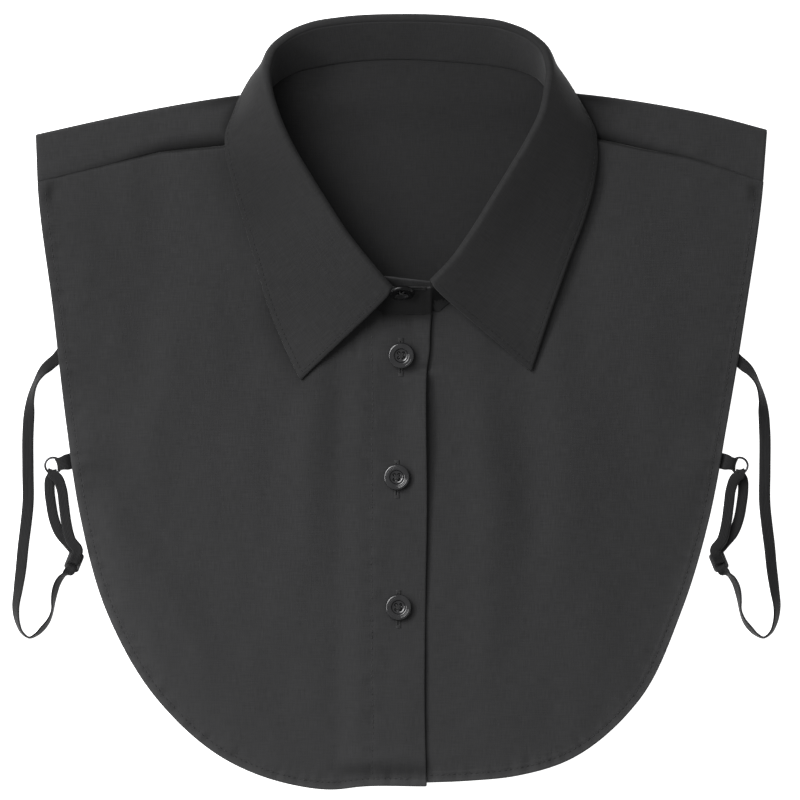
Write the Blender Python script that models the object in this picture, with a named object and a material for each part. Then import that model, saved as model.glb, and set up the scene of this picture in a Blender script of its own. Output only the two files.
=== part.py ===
"""Detachable shirt collar: a half-shirt that lies flat, with a point collar and elastic side straps.

The garment lies on its back on a surface at z = 0. +X is to the right of someone who looks down
on it, +Y points from the hem to the collar, +Z up. Left and right are those of that person.
The tables and the helpers work in millimetres, and add_object turns them into metres.
"""

import math

import bmesh
import bpy
import numpy as np

# ---------------------------------------------------------------- cloth
PANEL_WALL = 1.0
COLLAR_WALL = 1.5
SEAM_GAP = 0.3
LAYER_GAP = 0.35

# Puts the origin under the middle of the whole outline.
SHIFT_X = -0.2
SHIFT_Y = -0.55

# The outline of each front, from its shoulder tip round the armhole and the hem to its front edge.
LEFT_OUTLINE = (
    # x, y
    (-158.2, 117.7),
    (-157.1, 93.5),
    (-150.5, 40.7),
    (-144.3, -12.1),
    (-138.2, -51.7),
    (-127.2, -91.3),
    (-104.3, -130.9),
    (-73.9, -157.3),
    (-46.5, -167.6),
    (-26.5, -169.9),
    (-16.3, -168.7),
    (13.2, -168.5),
)
RIGHT_OUTLINE = (
    # x, y
    (163.0, 119.9),
    (161.0, 93.5),
    (153.6, 40.7),
    (144.8, -12.1),
    (137.3, -51.7),
    (125.4, -91.3),
    (106.5, -130.9),
    (75.2, -157.3),
    (52.4, -164.0),
    (33.0, -166.0),
    (14.0, -166.8),
    (-13.0, -166.8),
)
CORNER_Y = -104.0  # where the armhole's edge hands over to the hem

# The fold along each shoulder, from the tip to the neck, and the forward seam that the back reaches.
LEFT_SHOULDER = ((-158.2, 117.7), (-132.9, 123.4), (-107.4, 128.7), (-76.1, 134.0), (-59.8, 136.4))
RIGHT_SHOULDER = ((163.0, 119.9), (139.5, 126.1), (112.6, 131.3), (94.6, 134.0), (70.6, 136.8))
LEFT_SEAM = ((-157.5, 97.0), (-130.2, 103.6), (-103.8, 110.2), (-75.2, 112.9), (-57.8, 114.5))
RIGHT_SEAM = ((161.4, 97.0), (146.5, 102.3), (127.6, 108.0), (108.7, 111.5), (89.8, 115.6), (68.6, 118.4))

# The front edge of the left front, which lies over the right one, from the neck to the hem.
PLACKET_EDGE = ((15.5, 38.9), (15.0, 18.7), (14.1, -20.9), (12.8, -90.0), (12.5, -130.0), (13.2, -168.5))
UNDERLAP_EDGE = ((-3.0, 41.0), (-9.0, 34.0), (-13.0, 20.0), (-13.0, -80.0), (-13.0, -166.8))
OVERLAP_RISE = 1.45
OVERLAP_RAMP = (-31.0, -17.0)

# Heights of the middle of the cloth.
BACK_MID = 0.5
FRONT_MID = 1.85
BACK_NECK_RISE = 2.2
BACK_RISE_Y = (117.0, 136.0)
BACK_RISE_X = (-76.0, -60.0, 71.0, 87.0)
NECK_LIFT = 3.2
NECK_REACH = 24.0
SHOULDER_LIFT = 2.4
SHOULDER_TIP_LIFT = 1.0
SHOULDER_REACH = 46.0
# Where something passes under a front's edge; the right side mirrors the left.
EDGE_LIFTS = (
    # x, y, height, reach
    (-137.2, -24.3, 2.4, 13.0),
    (-144.5, 18.0, 0.7, 12.0),
)

# The back is cut smaller than the fronts, so none of it shows beside them.
BACK_INSET = 8.0
BACK_INSET_Y = (62.0, 100.0)
BACK_CENTRE = (2.0, -20.0)

# Soft ridges of the fronts.
SOFT_RIDGES = (
    # x, y, heading in degrees, half length, half width, height
    (31.0, -30.0, 92.0, 66.0, 9.0, 0.9),
    (70.0, -20.0, 96.0, 58.0, 11.0, 0.9),
    (-46.0, -12.0, 84.0, 50.0, 9.0, 0.8),
    (-92.0, 26.0, 76.0, 55.0, 14.0, 1.1),
    (112.0, 24.0, 103.0, 58.0, 14.0, 1.0),
    (-74.0, -96.0, 50.0, 48.0, 13.0, 0.9),
    (84.0, -102.0, 126.0, 46.0, 13.0, 0.9),
    (-118.0, -34.0, 68.0, 38.0, 10.0, 0.8),
)

# ---------------------------------------------------------------- collar
# Section by section from the left tip round the back of the neck to the right tip. Each row holds
# the neck seam, the fold with its height, the outer edge of the fall with its height (REST where it
# lies on a front), how far the fall swells out past the fold, and the height of that swell.
REST = None
COLLAR_SECTIONS = (
    # name, neck_x, neck_y, fold_x, fold_y, fold_z, edge_x, edge_y, edge_z, swell, swell_z
    ("left_tip", -5.0, 38.9, -1.2, 54.4, 22.2, -41.8, 10.3, REST, 34.0, 7.0),
    ("left_1", -18.0, 47.3, -10.6, 61.8, 22.6, -49.1, 25.5, REST, 30.0, 8.0),
    ("left_2", -28.8, 60.0, -20.2, 73.7, 23.4, -55.8, 42.2, REST, 27.0, 9.0),
    ("left_3", -38.6, 74.5, -29.5, 87.8, 24.2, -61.1, 60.5, REST, 25.0, 10.5),
    ("left_4", -47.2, 88.5, -37.8, 101.0, 25.2, -66.4, 78.7, REST, 23.0, 12.0),
    ("left_5", -54.0, 102.0, -46.2, 115.5, 26.2, -71.6, 97.0, REST, 21.0, 14.0),
    ("left_6", -57.8, 114.5, -51.9, 128.7, 27.0, -74.9, 113.5, REST, 19.0, 15.0),
    ("left_7", -58.2, 131.0, -55.4, 141.5, 27.4, -71.8, 126.0, REST, 16.0, 15.0),
    ("left_8", -57.4, 136.4, -55.8, 146.0, 27.3, -67.0, 136.3, 9.4, 7.0, 14.0),
    ("left_9", -54.4, 138.9, -55.4, 149.8, 27.0, -62.0, 141.0, 4.0, 3.0, 6.0),
    ("left_10", -50.6, 142.0, -53.7, 155.1, 26.4, -57.2, 142.5, 1.0, 1.5, 0.0),
    ("left_11", -43.8, 145.3, -48.4, 160.4, 25.4, -48.0, 139.5, 0.75, 1.5, -3.0),
    ("left_12", -33.5, 147.7, -37.4, 165.7, 24.4, -36.5, 140.5, 0.75, 1.5, -4.5),
    ("left_13", -22.0, 149.6, -24.6, 168.0, 23.6, -23.5, 142.0, 0.75, 1.5, -5.0),
    ("back", 1.8, 151.0, 2.5, 169.4, 23.2, 2.2, 143.5, 0.75, 1.5, -5.0),
    ("right_13", 27.0, 149.7, 30.0, 168.3, 23.6, 28.5, 142.5, 0.75, 1.5, -5.0),
    ("right_12", 44.5, 147.9, 48.0, 165.8, 24.4, 46.5, 141.0, 0.75, 1.5, -4.5),
    ("right_11", 54.8, 145.8, 59.4, 160.6, 25.4, 58.8, 140.0, 0.75, 1.5, -3.0),
    ("right_10", 61.8, 142.8, 64.8, 155.1, 26.4, 68.2, 142.5, 1.0, 1.5, 0.0),
    ("right_9", 65.6, 139.2, 66.4, 149.8, 27.0, 73.2, 141.0, 4.0, 3.0, 6.0),
    ("right_8", 68.2, 136.8, 66.7, 145.6, 27.3, 78.0, 136.3, 9.4, 7.0, 14.0),
    ("right_7", 69.0, 131.5, 66.0, 141.0, 27.4, 84.6, 125.6, REST, 17.0, 15.0),
    ("right_6", 68.6, 118.4, 63.6, 129.0, 27.0, 88.2, 113.0, REST, 21.0, 15.0),
    ("right_5", 64.8, 104.0, 57.6, 116.6, 26.2, 87.0, 97.0, REST, 23.0, 14.0),
    ("right_4", 58.2, 91.0, 50.0, 103.8, 25.2, 82.6, 80.5, REST, 25.0, 12.0),
    ("right_3", 50.2, 77.5, 41.8, 90.4, 24.2, 76.6, 64.5, REST, 27.0, 10.5),
    ("right_2", 41.2, 64.0, 32.6, 75.6, 22.8, 71.4, 50.0, REST, 29.0, 9.0),
    ("right_1", 31.4, 50.8, 24.0, 63.6, 20.6, 66.0, 34.5, REST, 31.0, 7.5),
    ("right_tip", 20.0, 40.0, 17.0, 54.0, 18.2, 59.4, 13.9, REST, 34.0, 6.5),
)
FALL_COLUMNS = 56
ROLL_ROWS = 5
DROP_ROWS = 7
DROP_CROWDING = 1.15  # crowds the rows of the drop toward the fold
STAND_ROWS = 3
ROLL = 2.3  # how far the top edge of the stand lies under the fold
ROLL_RADIUS = 1.6
ROLL_TURN = 150.0  # degrees from the way up the stand to the way down the fall
ROLL_PULL = 5.0  # how long the fall keeps the direction that the roll gives it
OPENING_CENTRE = (5.0, 95.0)
SHOULDER_CLEARANCE = 1.5
SHOULDER_CLEARANCE_REACH = 9.0
STAND_FOOT = 1.1  # from the middle of the neck edge up to the stand's lower edge
# The ends of the stand past the tips of the fall: the left one is buttoned over the right one.
LEFT_STAND_END = {"neck": (15.5, 38.9), "top": (15.5, 53.6, 20.8)}
RIGHT_STAND_END = {"neck": (-3.0, 41.4), "top": (-3.0, 53.0, 16.6)}
STAND_END_COLUMNS = 4

# ---------------------------------------------------------------- buttons
BUTTON_SEGMENTS = 24
BUTTON_HOLE_RADIUS = 0.75
BUTTON_HOLE_OFFSET = 1.3
BUTTON_HOLE_SEGMENTS = 8
BUTTON_PROFILE = (
    # radius, height: from the middle of the underside round the rim to the middle of the dish
    (0.0, 0.0),
    (4.2, 0.0),
    (5.4, 0.7),
    (5.7, 1.4),
    (5.4, 2.1),
    (4.9, 2.35),
    (4.2, 2.2),
    (3.4, 1.6),
    (0.0, 1.4),
)
FRONT_BUTTONS = {
    # name: (x, y)
    "button_1": (1.3, 20.9),
    "button_2": (0.4, -32.8),
    "button_3": (1.1, -90.0),
}
STAND_BUTTON_X = 0.6
STAND_BUTTON_SHARE = 0.66  # of the height of the stand

# ---------------------------------------------------------------- side straps
MIRROR_X = 0.2  # the right strap is the left one mirrored about this line
STRAP_WIDTH = 4.6
STRAP_THICKNESS = 1.0
STRAP_STEP = 5.0
STRAP_START = ((-145.6, 24.2), (-147.2, 21.9), (-149.0, 19.6))
STRAP_ROUTE = (
    # x, y, twist in degrees
    (-149.0, 19.6, 0.0),
    (-152.6, 16.4, 6.0),
    (-155.8, 13.2, 40.0),
    (-158.4, 9.0, 64.0),
    (-160.6, 2.0, 50.0),
    (-161.3, -4.2, 20.0),
    (-161.9, -14.3, 4.0),
    (-161.9, -29.7, 0.0),
    (-161.9, -45.1, 4.0),
    (-162.8, -53.9, 8.0),
    (-163.9, -62.7, 12.0),
    (-165.0, -73.7, 20.0),
    (-166.2, -82.5, 34.0),
    (-167.2, -90.4, 52.0),
    (-166.3, -97.0, 66.0),
    (-164.4, -101.2, 78.0),
    (-161.2, -103.4, 86.0),
    (-158.2, -102.0, 76.0),
    (-155.3, -99.2, 66.0),
    (-152.7, -95.7, 74.0),
    (-151.1, -91.3, 82.0),
    (-150.4, -86.9, 78.0),
    (-149.2, -82.9, 64.0),
    (-147.0, -80.2, 44.0),
    (-144.6, -78.4, 20.0),
)
SLIDER_CENTRE = (-141.6, -69.8)
SLIDER_HEADING = 82.0
# How the elastic threads the slider: along the slider, across it, height.
THREAD_IN = ((-6.4, -0.1, 2.6), (-4.3, 0.0, 3.25), (-2.9, 0.0, 3.1), (-2.05, 0.0, 1.85), (-1.25, 0.0, 0.7))
THREAD_OUT = ((0.0, 0.0, 0.55), (1.25, 0.0, 0.7), (2.05, 0.0, 1.85), (2.9, 0.0, 3.1), (4.4, 0.0, 3.25))
THREAD_END = ((4.6, 0.0, 4.7), (3.2, 0.0, 4.65), (1.7, 0.0, 4.0), (0.4, 0.0, 3.4), (-0.8, 0.0, 3.3))
# The two runs between the slider and the ring: the lower one up, the upper one back.
RUN_UP = (
    # x, y, height
    (-141.5, -63.0, 3.1),
    (-143.9, -59.4, 2.7),
    (-147.2, -54.9, 2.2),
    (-149.8, -49.8, 1.6),
    (-151.7, -43.5, 1.0),
    (-152.7, -37.5, 0.62),
    (-152.4, -34.0, 0.55),
)
RUN_BACK = (
    # x, y, height
    (-149.2, -33.0, 3.5),
    (-147.6, -38.0, 3.5),
    (-146.6, -46.0, 3.6),
    (-145.5, -54.0, 4.2),
    (-143.3, -60.6, 4.65),
)
RING_TURN_HEADING = -98.0  # where on the ring the elastic turns
RING_TURN_WIDTH = 3.4

RING_CENTRE = (-150.8, -27.7)
RING_RADIUS = 3.5
RING_WIRE = 0.55
RING_Z = 2.0
RING_SEGMENTS = 20
RING_SIDES = 6
TAB_HEADING = 14.0  # from the ring to the front's edge
TAB_WIDTH = 6.4
TAB_TURN_WIDTH = 3.2
TAB_LENGTH = 10.5
TURN_RADIUS = RING_WIRE + SEAM_GAP + STRAP_THICKNESS / 2
TURN_BOW = 0.55  # how far the edges of a band bend round the ring's curve
TURN_STEPS = 6

SLIDER_LENGTH = 8.8
SLIDER_WIDTH = 6.9
SLIDER_BORDER = 0.85
SLIDER_BAR = 1.2
SLIDER_BOTTOM = 1.4
SLIDER_TOP = 2.4
SLIDER_CORNER = 1.6
SLIDER_CORNER_STEPS = 4

# ---------------------------------------------------------------- finishes
FINISHES = {
    # name: (colour, roughness, metallic)
    "cotton": ((0.040, 0.040, 0.042), 0.85, 0.0),
    "collar_cotton": ((0.044, 0.044, 0.046), 0.85, 0.0),
    "button_gloss": ((0.012, 0.012, 0.013), 0.18, 0.0),
    "elastic": ((0.022, 0.022, 0.023), 0.7, 0.0),
    "ring_metal": ((0.05, 0.05, 0.055), 0.3, 1.0),
    "slider_plastic": ((0.018, 0.018, 0.019), 0.4, 0.0),
}


# ================================================================ curves
def smooth_step(value, low, high):
    """0 below low, 1 above high, and a smooth S between them."""
    share = np.clip((np.asarray(value, float) - low) / (high - low), 0.0, 1.0)
    return share * share * (3.0 - 2.0 * share)


class Curve:
    """A smooth curve through points of any dimension, read at a share 0..1 of its chord length."""

    def __init__(self, points, stops=None):
        self.points = np.array(points, float)
        if stops is None:
            chords = np.linalg.norm(np.diff(self.points, axis=0), axis=1)
            stops = np.concatenate([[0.0], np.cumsum(chords)])
        self.stops = np.array(stops, float) / stops[-1]
        steps = np.diff(self.stops)[:, None]
        slopes = np.diff(self.points, axis=0) / steps
        inner = (slopes[1:] * steps[:-1] + slopes[:-1] * steps[1:]) / (steps[1:] + steps[:-1])
        self.slopes = np.vstack([slopes[:1], inner, slopes[-1:]])

    def at(self, shares):
        shares = np.clip(np.asarray(shares, float), 0.0, 1.0)
        index = np.clip(np.searchsorted(self.stops, shares, side="right") - 1, 0, len(self.stops) - 2)
        step = (self.stops[index + 1] - self.stops[index])[..., None]
        t = ((shares - self.stops[index])[..., None]) / step
        start, end = self.points[index], self.points[index + 1]
        out, into = self.slopes[index] * step, self.slopes[index + 1] * step
        return (
            start * (2 * t**3 - 3 * t**2 + 1)
            + out * (t**3 - 2 * t**2 + t)
            + end * (3 * t**2 - 2 * t**3)
            + into * (t**3 - t**2)
        )

    def share_where(self, column, value):
        """The first share at which a column reaches a value."""
        shares = np.linspace(0.0, 1.0, 2001)
        over = self.at(shares)[:, column] - value
        crossing = np.nonzero(np.diff(np.sign(over)))[0]
        return float(shares[crossing[0]])

    def part(self, low, high, count):
        """Evenly spaced points between two shares."""
        return self.at(np.linspace(low, high, count))


def even(points, count):
    """A polyline resampled to count points evenly along its length."""
    points = np.asarray(points, float)
    lengths = np.concatenate([[0.0], np.cumsum(np.linalg.norm(np.diff(points, axis=0), axis=1))])
    wanted = np.linspace(0.0, lengths[-1], count)
    return np.stack([np.interp(wanted, lengths, points[:, i]) for i in range(points.shape[1])], axis=1)


def line_y(points, x):
    """The height in y of an outline of rising or falling x."""
    points = np.array(sorted(points))
    return np.interp(x, points[:, 0], points[:, 1])


# ================================================================ the collar's rails
FIELDS = ("neck_x", "neck_y", "fold_x", "fold_y", "fold_z", "edge_x", "edge_y", "edge_z", "swell", "swell_z")
SECTION_NAMES = [row[0] for row in COLLAR_SECTIONS]


def section_column(field):
    column = 1 + FIELDS.index(field)
    return np.array([math.nan if row[column] is REST else row[column] for row in COLLAR_SECTIONS])


NECK_PLAN = np.stack([section_column("neck_x"), section_column("neck_y")], axis=1)
FOLD_PLAN = np.stack([section_column("fold_x"), section_column("fold_y")], axis=1)
SECTION_STOPS = np.concatenate([[0.0], np.cumsum(np.linalg.norm(np.diff(FOLD_PLAN, axis=0), axis=1))])
NECK_CURVE = Curve(NECK_PLAN, SECTION_STOPS)


def section_share(name):
    return float(NECK_CURVE.stops[SECTION_NAMES.index(name)])


def front_neck_line(count=60):
    """The neckline of both fronts in plan, from the left shoulder to the right one."""
    left = NECK_CURVE.part(section_share("left_8"), 0.0, count)
    right = NECK_CURVE.part(1.0, section_share("right_8"), count)
    return np.vstack([left, right])


FRONT_NECK_LINE = front_neck_line()


# ================================================================ heights of the cloth
def shoulder_y(x):
    """The shoulder fold's y above any x; it runs level behind the neck."""
    return line_y(LEFT_SHOULDER + RIGHT_SHOULDER, x)


def back_height(x, y):
    """Middle of the back: flat on the surface, and raised where the collar's fall passes under it."""
    low_left, high_left, high_right, low_right = BACK_RISE_X
    across = smooth_step(x, low_left, high_left) * (1.0 - smooth_step(x, high_right, low_right))
    return BACK_MID + BACK_NECK_RISE * across * smooth_step(y, *BACK_RISE_Y)


def ridge_height(x, y):
    total = 0.0
    for at_x, at_y, heading, half_length, half_width, height in SOFT_RIDGES:
        angle = math.radians(heading)
        along = (x - at_x) * math.cos(angle) + (y - at_y) * math.sin(angle)
        across = (y - at_y) * math.cos(angle) - (x - at_x) * math.sin(angle)
        total = total + height * np.exp(-((along / half_length) ** 2) - (across / half_width) ** 2)
    return total


def upper_height(x, y):
    """Middle of the layer that lies on the back: the fronts, and the back's own turned-over strip."""
    x, y = np.broadcast_arrays(np.asarray(x, float), np.asarray(y, float))
    away = np.hypot(x[..., None] - FRONT_NECK_LINE[:, 0], y[..., None] - FRONT_NECK_LINE[:, 1]).min(axis=-1)
    neck = NECK_LIFT * np.exp(-((away / NECK_REACH) ** 2))
    toward_neck = 1.0 - smooth_step(np.abs(x - 5.0), 60.0, 155.0)
    below = np.maximum(shoulder_y(x) - y, 0.0)
    shoulder = (SHOULDER_TIP_LIFT + (SHOULDER_LIFT - SHOULDER_TIP_LIFT) * toward_neck) * np.exp(
        -((below / SHOULDER_REACH) ** 2)
    )
    lifted = 0.0
    for left_x, at_y, lift, reach in EDGE_LIFTS:
        for at_x in (left_x, 2 * MIRROR_X - left_x):
            lifted = lifted + lift * np.exp(-(((x - at_x) ** 2 + (y - at_y) ** 2) / reach**2))
    return FRONT_MID + neck + shoulder + lifted + ridge_height(x, y)


def left_front_height(x, y):
    return upper_height(x, y) + OVERLAP_RISE * smooth_step(x, *OVERLAP_RAMP)


def neck_height(x, y):
    """Middle of the neck edge: on the fronts, round the shoulder fold and on the back."""
    x, y = np.asarray(x, float), np.asarray(y, float)
    fold_y = shoulder_y(x)
    low, high = back_height(x, fold_y - 2.0), upper_height(x, fold_y - 2.0)
    radius = (high - low) / 2
    past = np.clip(y - (fold_y - radius), 0.0, radius)
    round_fold = (low + high) / 2 + np.sqrt(np.maximum(radius**2 - past**2, 0.0))
    on_front = np.where(x < MIRROR_X + 16.0, left_front_height(x, y), upper_height(x, y))
    behind = low + (round_fold - low) * (1.0 - smooth_step(y - fold_y, 0.0, 2.5))
    front_or_fold = np.where(y < fold_y - radius, on_front, round_fold)
    return np.where(y > fold_y, np.maximum(behind, back_height(x, y)), front_or_fold)


# ================================================================ meshes
def add_object(name, points, faces, finish):
    """A mesh object of points in millimetres, with its material."""
    mesh = bpy.data.meshes.new(name)
    metres = np.asarray(points, float) * 0.001
    mesh.from_pydata(metres.tolist(), [], [tuple(int(i) for i in face) for face in faces])
    mesh.materials.append(material(finish))
    made = bpy.data.objects.new(name, mesh)
    bpy.context.scene.collection.objects.link(made)
    made.parent = bpy.data.objects["shirt_collar"]
    mesh.shade_smooth()
    mesh.set_sharp_from_angle(angle=math.radians(40))
    return made


def material(name):
    if name in bpy.data.materials:
        return bpy.data.materials[name]
    colour, roughness, metallic = FINISHES[name]
    made = bpy.data.materials.new(name)
    made.use_nodes = True
    shader = made.node_tree.nodes["Principled BSDF"]
    shader.inputs["Base Color"].default_value = (*colour, 1.0)
    shader.inputs["Roughness"].default_value = roughness
    shader.inputs["Metallic"].default_value = metallic
    return made


def grid_faces(rows, columns):
    """Quads of a grid of points stored row by row."""
    index = np.arange(rows * columns).reshape(rows, columns)
    corners = (index[:-1, :-1], index[1:, :-1], index[1:, 1:], index[:-1, 1:])
    return np.stack([corner.ravel() for corner in corners], axis=1)


def vertex_normals(points, faces):
    """Area-weighted normals of a sheet of quads."""
    across = points[faces[:, 2]] - points[faces[:, 0]]
    along = points[faces[:, 3]] - points[faces[:, 1]]
    normals = np.zeros_like(points)
    for corner in range(4):
        np.add.at(normals, faces[:, corner], np.cross(across, along))
    return normals / np.linalg.norm(normals, axis=1)[:, None]


def walled(points, faces, wall, normals=None):
    """The closed solid of a sheet of quads: half the wall on each side of it, with its rim."""
    if normals is None:
        normals = vertex_normals(points, faces)
    offset = normals * wall / 2
    count = len(points)
    edges = np.concatenate([faces[:, [i, (i + 1) % 4]] for i in range(4)])
    _, first, uses = np.unique(np.sort(edges, axis=1), axis=0, return_index=True, return_counts=True)
    rim = edges[first[uses == 1]]
    sides = np.stack([rim[:, 1], rim[:, 0], rim[:, 0] + count, rim[:, 1] + count], axis=1)
    solid_faces = np.vstack([faces, faces[:, ::-1] + count, sides])
    return np.vstack([points + offset, points - offset]), solid_faces


def add_cloth(name, points, faces, wall, finish, first_normals=None):
    """A cloth solid from its middle sheet, with its faces outwards.

    first_normals, if given, set how the first points' rim stands.
    """
    normals = vertex_normals(points, faces)
    if normals[:, 2].sum() < 0:
        faces, normals = faces[:, ::-1], -normals
    if first_normals is not None:
        count = len(first_normals)
        same_side = np.sign((normals[:count] * first_normals).sum(axis=1))
        normals[:count] = first_normals * same_side[:, None]
    return add_object(name, *walled(points, faces, wall, normals), finish)


def coons(top, bottom, left, right):
    """A grid between four edges: left and right run from the top's ends to the bottom's ends."""
    u = np.linspace(0.0, 1.0, len(top))[None, :, None]
    v = np.linspace(0.0, 1.0, len(left))[:, None, None]
    across = (1 - v) * top[None] + v * bottom[None]
    down = (1 - u) * left[:, None] + u * right[:, None]
    corners = (1 - u) * (1 - v) * top[0] + u * (1 - v) * top[-1] + (1 - u) * v * bottom[0] + u * v * bottom[-1]
    return across + down - corners


# ================================================================ panels
FRONT_COLUMNS = (11, 10)  # along the forward seam, along the neckline
FRONT_ROWS = 19
BACK_SHOULDER_COLUMNS = 9
BACK_NECK_COLUMNS = 13
BACK_ROWS = 17
FOLD_STEPS = 6
STRIP_ROWS = 3


def front(name, outline, seam, neck_shares, front_edge, height):
    """One front: a grid between its seam and neckline, armhole, hem and front edge."""
    outline, seam, front_edge = Curve(outline), Curve(seam), Curve(front_edge)
    neck = NECK_CURVE.part(*neck_shares, 40)
    if abs(front_edge.points[0, 0] - neck[-1, 0]) > 0.1:
        neck = np.vstack([neck, front_edge.points[:1]])
    along_seam = even(seam.part(0.0, 1.0, 40) - (0.0, SEAM_GAP / 2), FRONT_COLUMNS[0])
    top = np.vstack([along_seam[:-1], even(neck, FRONT_COLUMNS[1] + 1)])
    start = outline.share_where(1, seam.points[0, 1] - SEAM_GAP / 2)
    corner = outline.share_where(1, CORNER_Y)
    left = even(outline.part(start, corner, 60), FRONT_ROWS)
    bottom = even(outline.part(corner, 1.0, 60), len(top))
    right = even(front_edge.part(0.0, 1.0, 60), FRONT_ROWS)
    left[0], left[-1], right[0], right[-1] = top[0], bottom[0], top[-1], bottom[-1]
    plan = coons(top, bottom, left, right)
    points = np.dstack([plan, height(plan[..., 0], plan[..., 1])[..., None]]).reshape(-1, 3)
    add_cloth(name, points, grid_faces(*plan.shape[:2]), PANEL_WALL, "cotton")


def inset_back(points):
    """The back's outline: the fronts' one, drawn in below the armhole."""
    points = np.array(points, float)
    share = 1.0 - smooth_step(points[:, 1], *BACK_INSET_Y)
    away = points - BACK_CENTRE
    length = np.linalg.norm(away, axis=1)
    return points - away * (BACK_INSET * share / length)[:, None]


def fold_radius(x, y):
    return (upper_height(x, y) - back_height(x, y)) / 2


def shoulder_strip(shoulder, seam, count):
    """Rows of the back's strip from the flat side round the shoulder fold to the forward seam."""
    top = even(Curve(shoulder).part(0.0, 1.0, 40), count)
    end = even(Curve(seam).part(0.0, 1.0, 40) + (0.0, SEAM_GAP / 2), count)
    end[-1, 0] = top[-1, 0]
    x, y = top[:, 0], top[:, 1]
    radius = fold_radius(x, y - 2.0)
    low = back_height(x, y - 2.0)
    rows = []
    for step in range(FOLD_STEPS + 1):
        angle = math.pi * step / FOLD_STEPS
        rows.append(
            np.stack([x, y - radius + radius * math.sin(angle), low + radius * (1 - math.cos(angle))], axis=1)
        )
    for step in range(1, STRIP_ROWS + 1):
        share = step / STRIP_ROWS
        plan_x = x + (end[:, 0] - x) * share
        plan_y = y - radius + (end[:, 1] - y + radius) * share
        settled = upper_height(plan_x, plan_y)
        rows.append(np.stack([plan_x, plan_y, settled], axis=1))
    return np.array(rows)


def back():
    """The back with the strip that it turns over each shoulder, in one sheet."""
    strips = [
        shoulder_strip(LEFT_SHOULDER, LEFT_SEAM, BACK_SHOULDER_COLUMNS),
        shoulder_strip(RIGHT_SHOULDER, RIGHT_SEAM, BACK_SHOULDER_COLUMNS),
    ]
    neck = NECK_CURVE.part(section_share("left_9"), section_share("right_9"), 80)
    left_top, right_top = strips[0][0][:, :2], strips[1][0][::-1, :2]
    top = np.vstack([left_top, even(neck, BACK_NECK_COLUMNS), right_top])
    edges = []
    for outline, shoulder_end in ((LEFT_OUTLINE, left_top[0]), (RIGHT_OUTLINE, right_top[-1])):
        curve = Curve(outline)
        corner = curve.share_where(1, CORNER_Y)
        side = inset_back(curve.part(0.012, corner, 60))
        hem = inset_back(curve.part(corner, 1.0, 60))
        side = np.vstack([shoulder_end, side[side[:, 1] < shoulder_end[1] - 1.0]])
        edges.append((even(side, BACK_ROWS), hem))
    (left, left_hem), (right, right_hem) = edges
    middle = [p for p in left_hem if p[0] < -2.0] + [p for p in right_hem[::-1] if p[0] > 6.0]
    bottom = even(np.array(middle), len(top))
    left[-1], right[-1] = bottom[0], bottom[-1]
    plan = coons(top, bottom, left, right)
    flat = np.dstack([plan, back_height(plan[..., 0], plan[..., 1])[..., None]])
    points = [flat.reshape(-1, 3)]
    faces = [grid_faces(*plan.shape[:2])]
    used = flat.shape[0] * flat.shape[1]
    for strip, first in ((strips[0], 0), (strips[1][:, ::-1], len(top) - BACK_SHOULDER_COLUMNS)):
        points.append(strip[1:].reshape(-1, 3))
        count = strip.shape[1]
        index = np.vstack([first + np.arange(count), used + np.arange((len(strip) - 1) * count).reshape(-1, count)])
        corners = (index[:-1, :-1], index[:-1, 1:], index[1:, 1:], index[1:, :-1])
        faces.append(np.stack([corner.ravel() for corner in corners], axis=1))
        used += (len(strip) - 1) * count
    points = np.vstack(points)
    faces = np.vstack(faces)
    main = vertex_normals(flat.reshape(-1, 3), grid_faces(*plan.shape[:2]))
    if main[:, 2].sum() < 0:
        faces = faces[:, ::-1]
    add_object("back", *walled(points, faces, PANEL_WALL), "cotton")


# ================================================================ collar
def collar_rails(count):
    """Neck edge, fold, swell and outer edge at evenly spaced shares of the fold."""
    shares = np.linspace(0.0, 1.0, count)
    neck = NECK_CURVE.at(shares)
    neck = np.column_stack([neck, neck_height(neck[:, 0], neck[:, 1])])
    fold_xyz = np.column_stack([FOLD_PLAN, section_column("fold_z")])
    fold = Curve(fold_xyz, SECTION_STOPS).at(shares)
    edge_plan = np.stack([section_column("edge_x"), section_column("edge_y")], axis=1)
    rests = np.isnan(section_column("edge_z"))
    edge_z = np.where(rests, resting_height(edge_plan[:, 0], edge_plan[:, 1]), section_column("edge_z"))
    edge = Curve(np.column_stack([edge_plan, edge_z]), SECTION_STOPS).at(shares)
    along = np.gradient(FOLD_PLAN, SECTION_STOPS, axis=0)
    outward = np.stack([along[:, 1], -along[:, 0]], axis=1) * -1.0
    outward = np.where(rests[:, None], edge_plan - FOLD_PLAN, outward)
    outward = outward / np.linalg.norm(outward, axis=1)[:, None]
    swell_plan = FOLD_PLAN + outward * section_column("swell")[:, None]
    swell = Curve(np.column_stack([swell_plan, section_column("swell_z")]), SECTION_STOPS).at(shares)
    return neck, fold, swell, edge


def resting_height(x, y):
    """Middle of a collar wall that lies on a front or round the shoulder fold."""
    on_left = np.where(np.asarray(x) < 0.0, left_front_height(x, y), upper_height(x, y))
    round_fold = SHOULDER_CLEARANCE * np.exp(-(((y - shoulder_y(x)) / SHOULDER_CLEARANCE_REACH) ** 2))
    return on_left + PANEL_WALL / 2 + LAYER_GAP + COLLAR_WALL / 2 + round_fold


def unit(vectors):
    return vectors / np.linalg.norm(vectors, axis=-1)[..., None]


def stand_frame(neck, fold):
    """Top edge of the stand, the way up its face and its outer normal, at each section."""
    rise = unit(fold - neck)
    outer = unit(np.cross(np.gradient(fold, axis=0), rise))
    if (outer[:, :2] * (fold[:, :2] - OPENING_CENTRE)).sum() < 0:
        outer = -outer
    top = fold - rise * ROLL - outer * ROLL_RADIUS / 2
    rise = unit(top - neck)
    outer = unit(outer - rise * (outer * rise).sum(axis=1)[:, None])
    return top, rise, outer


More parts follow.
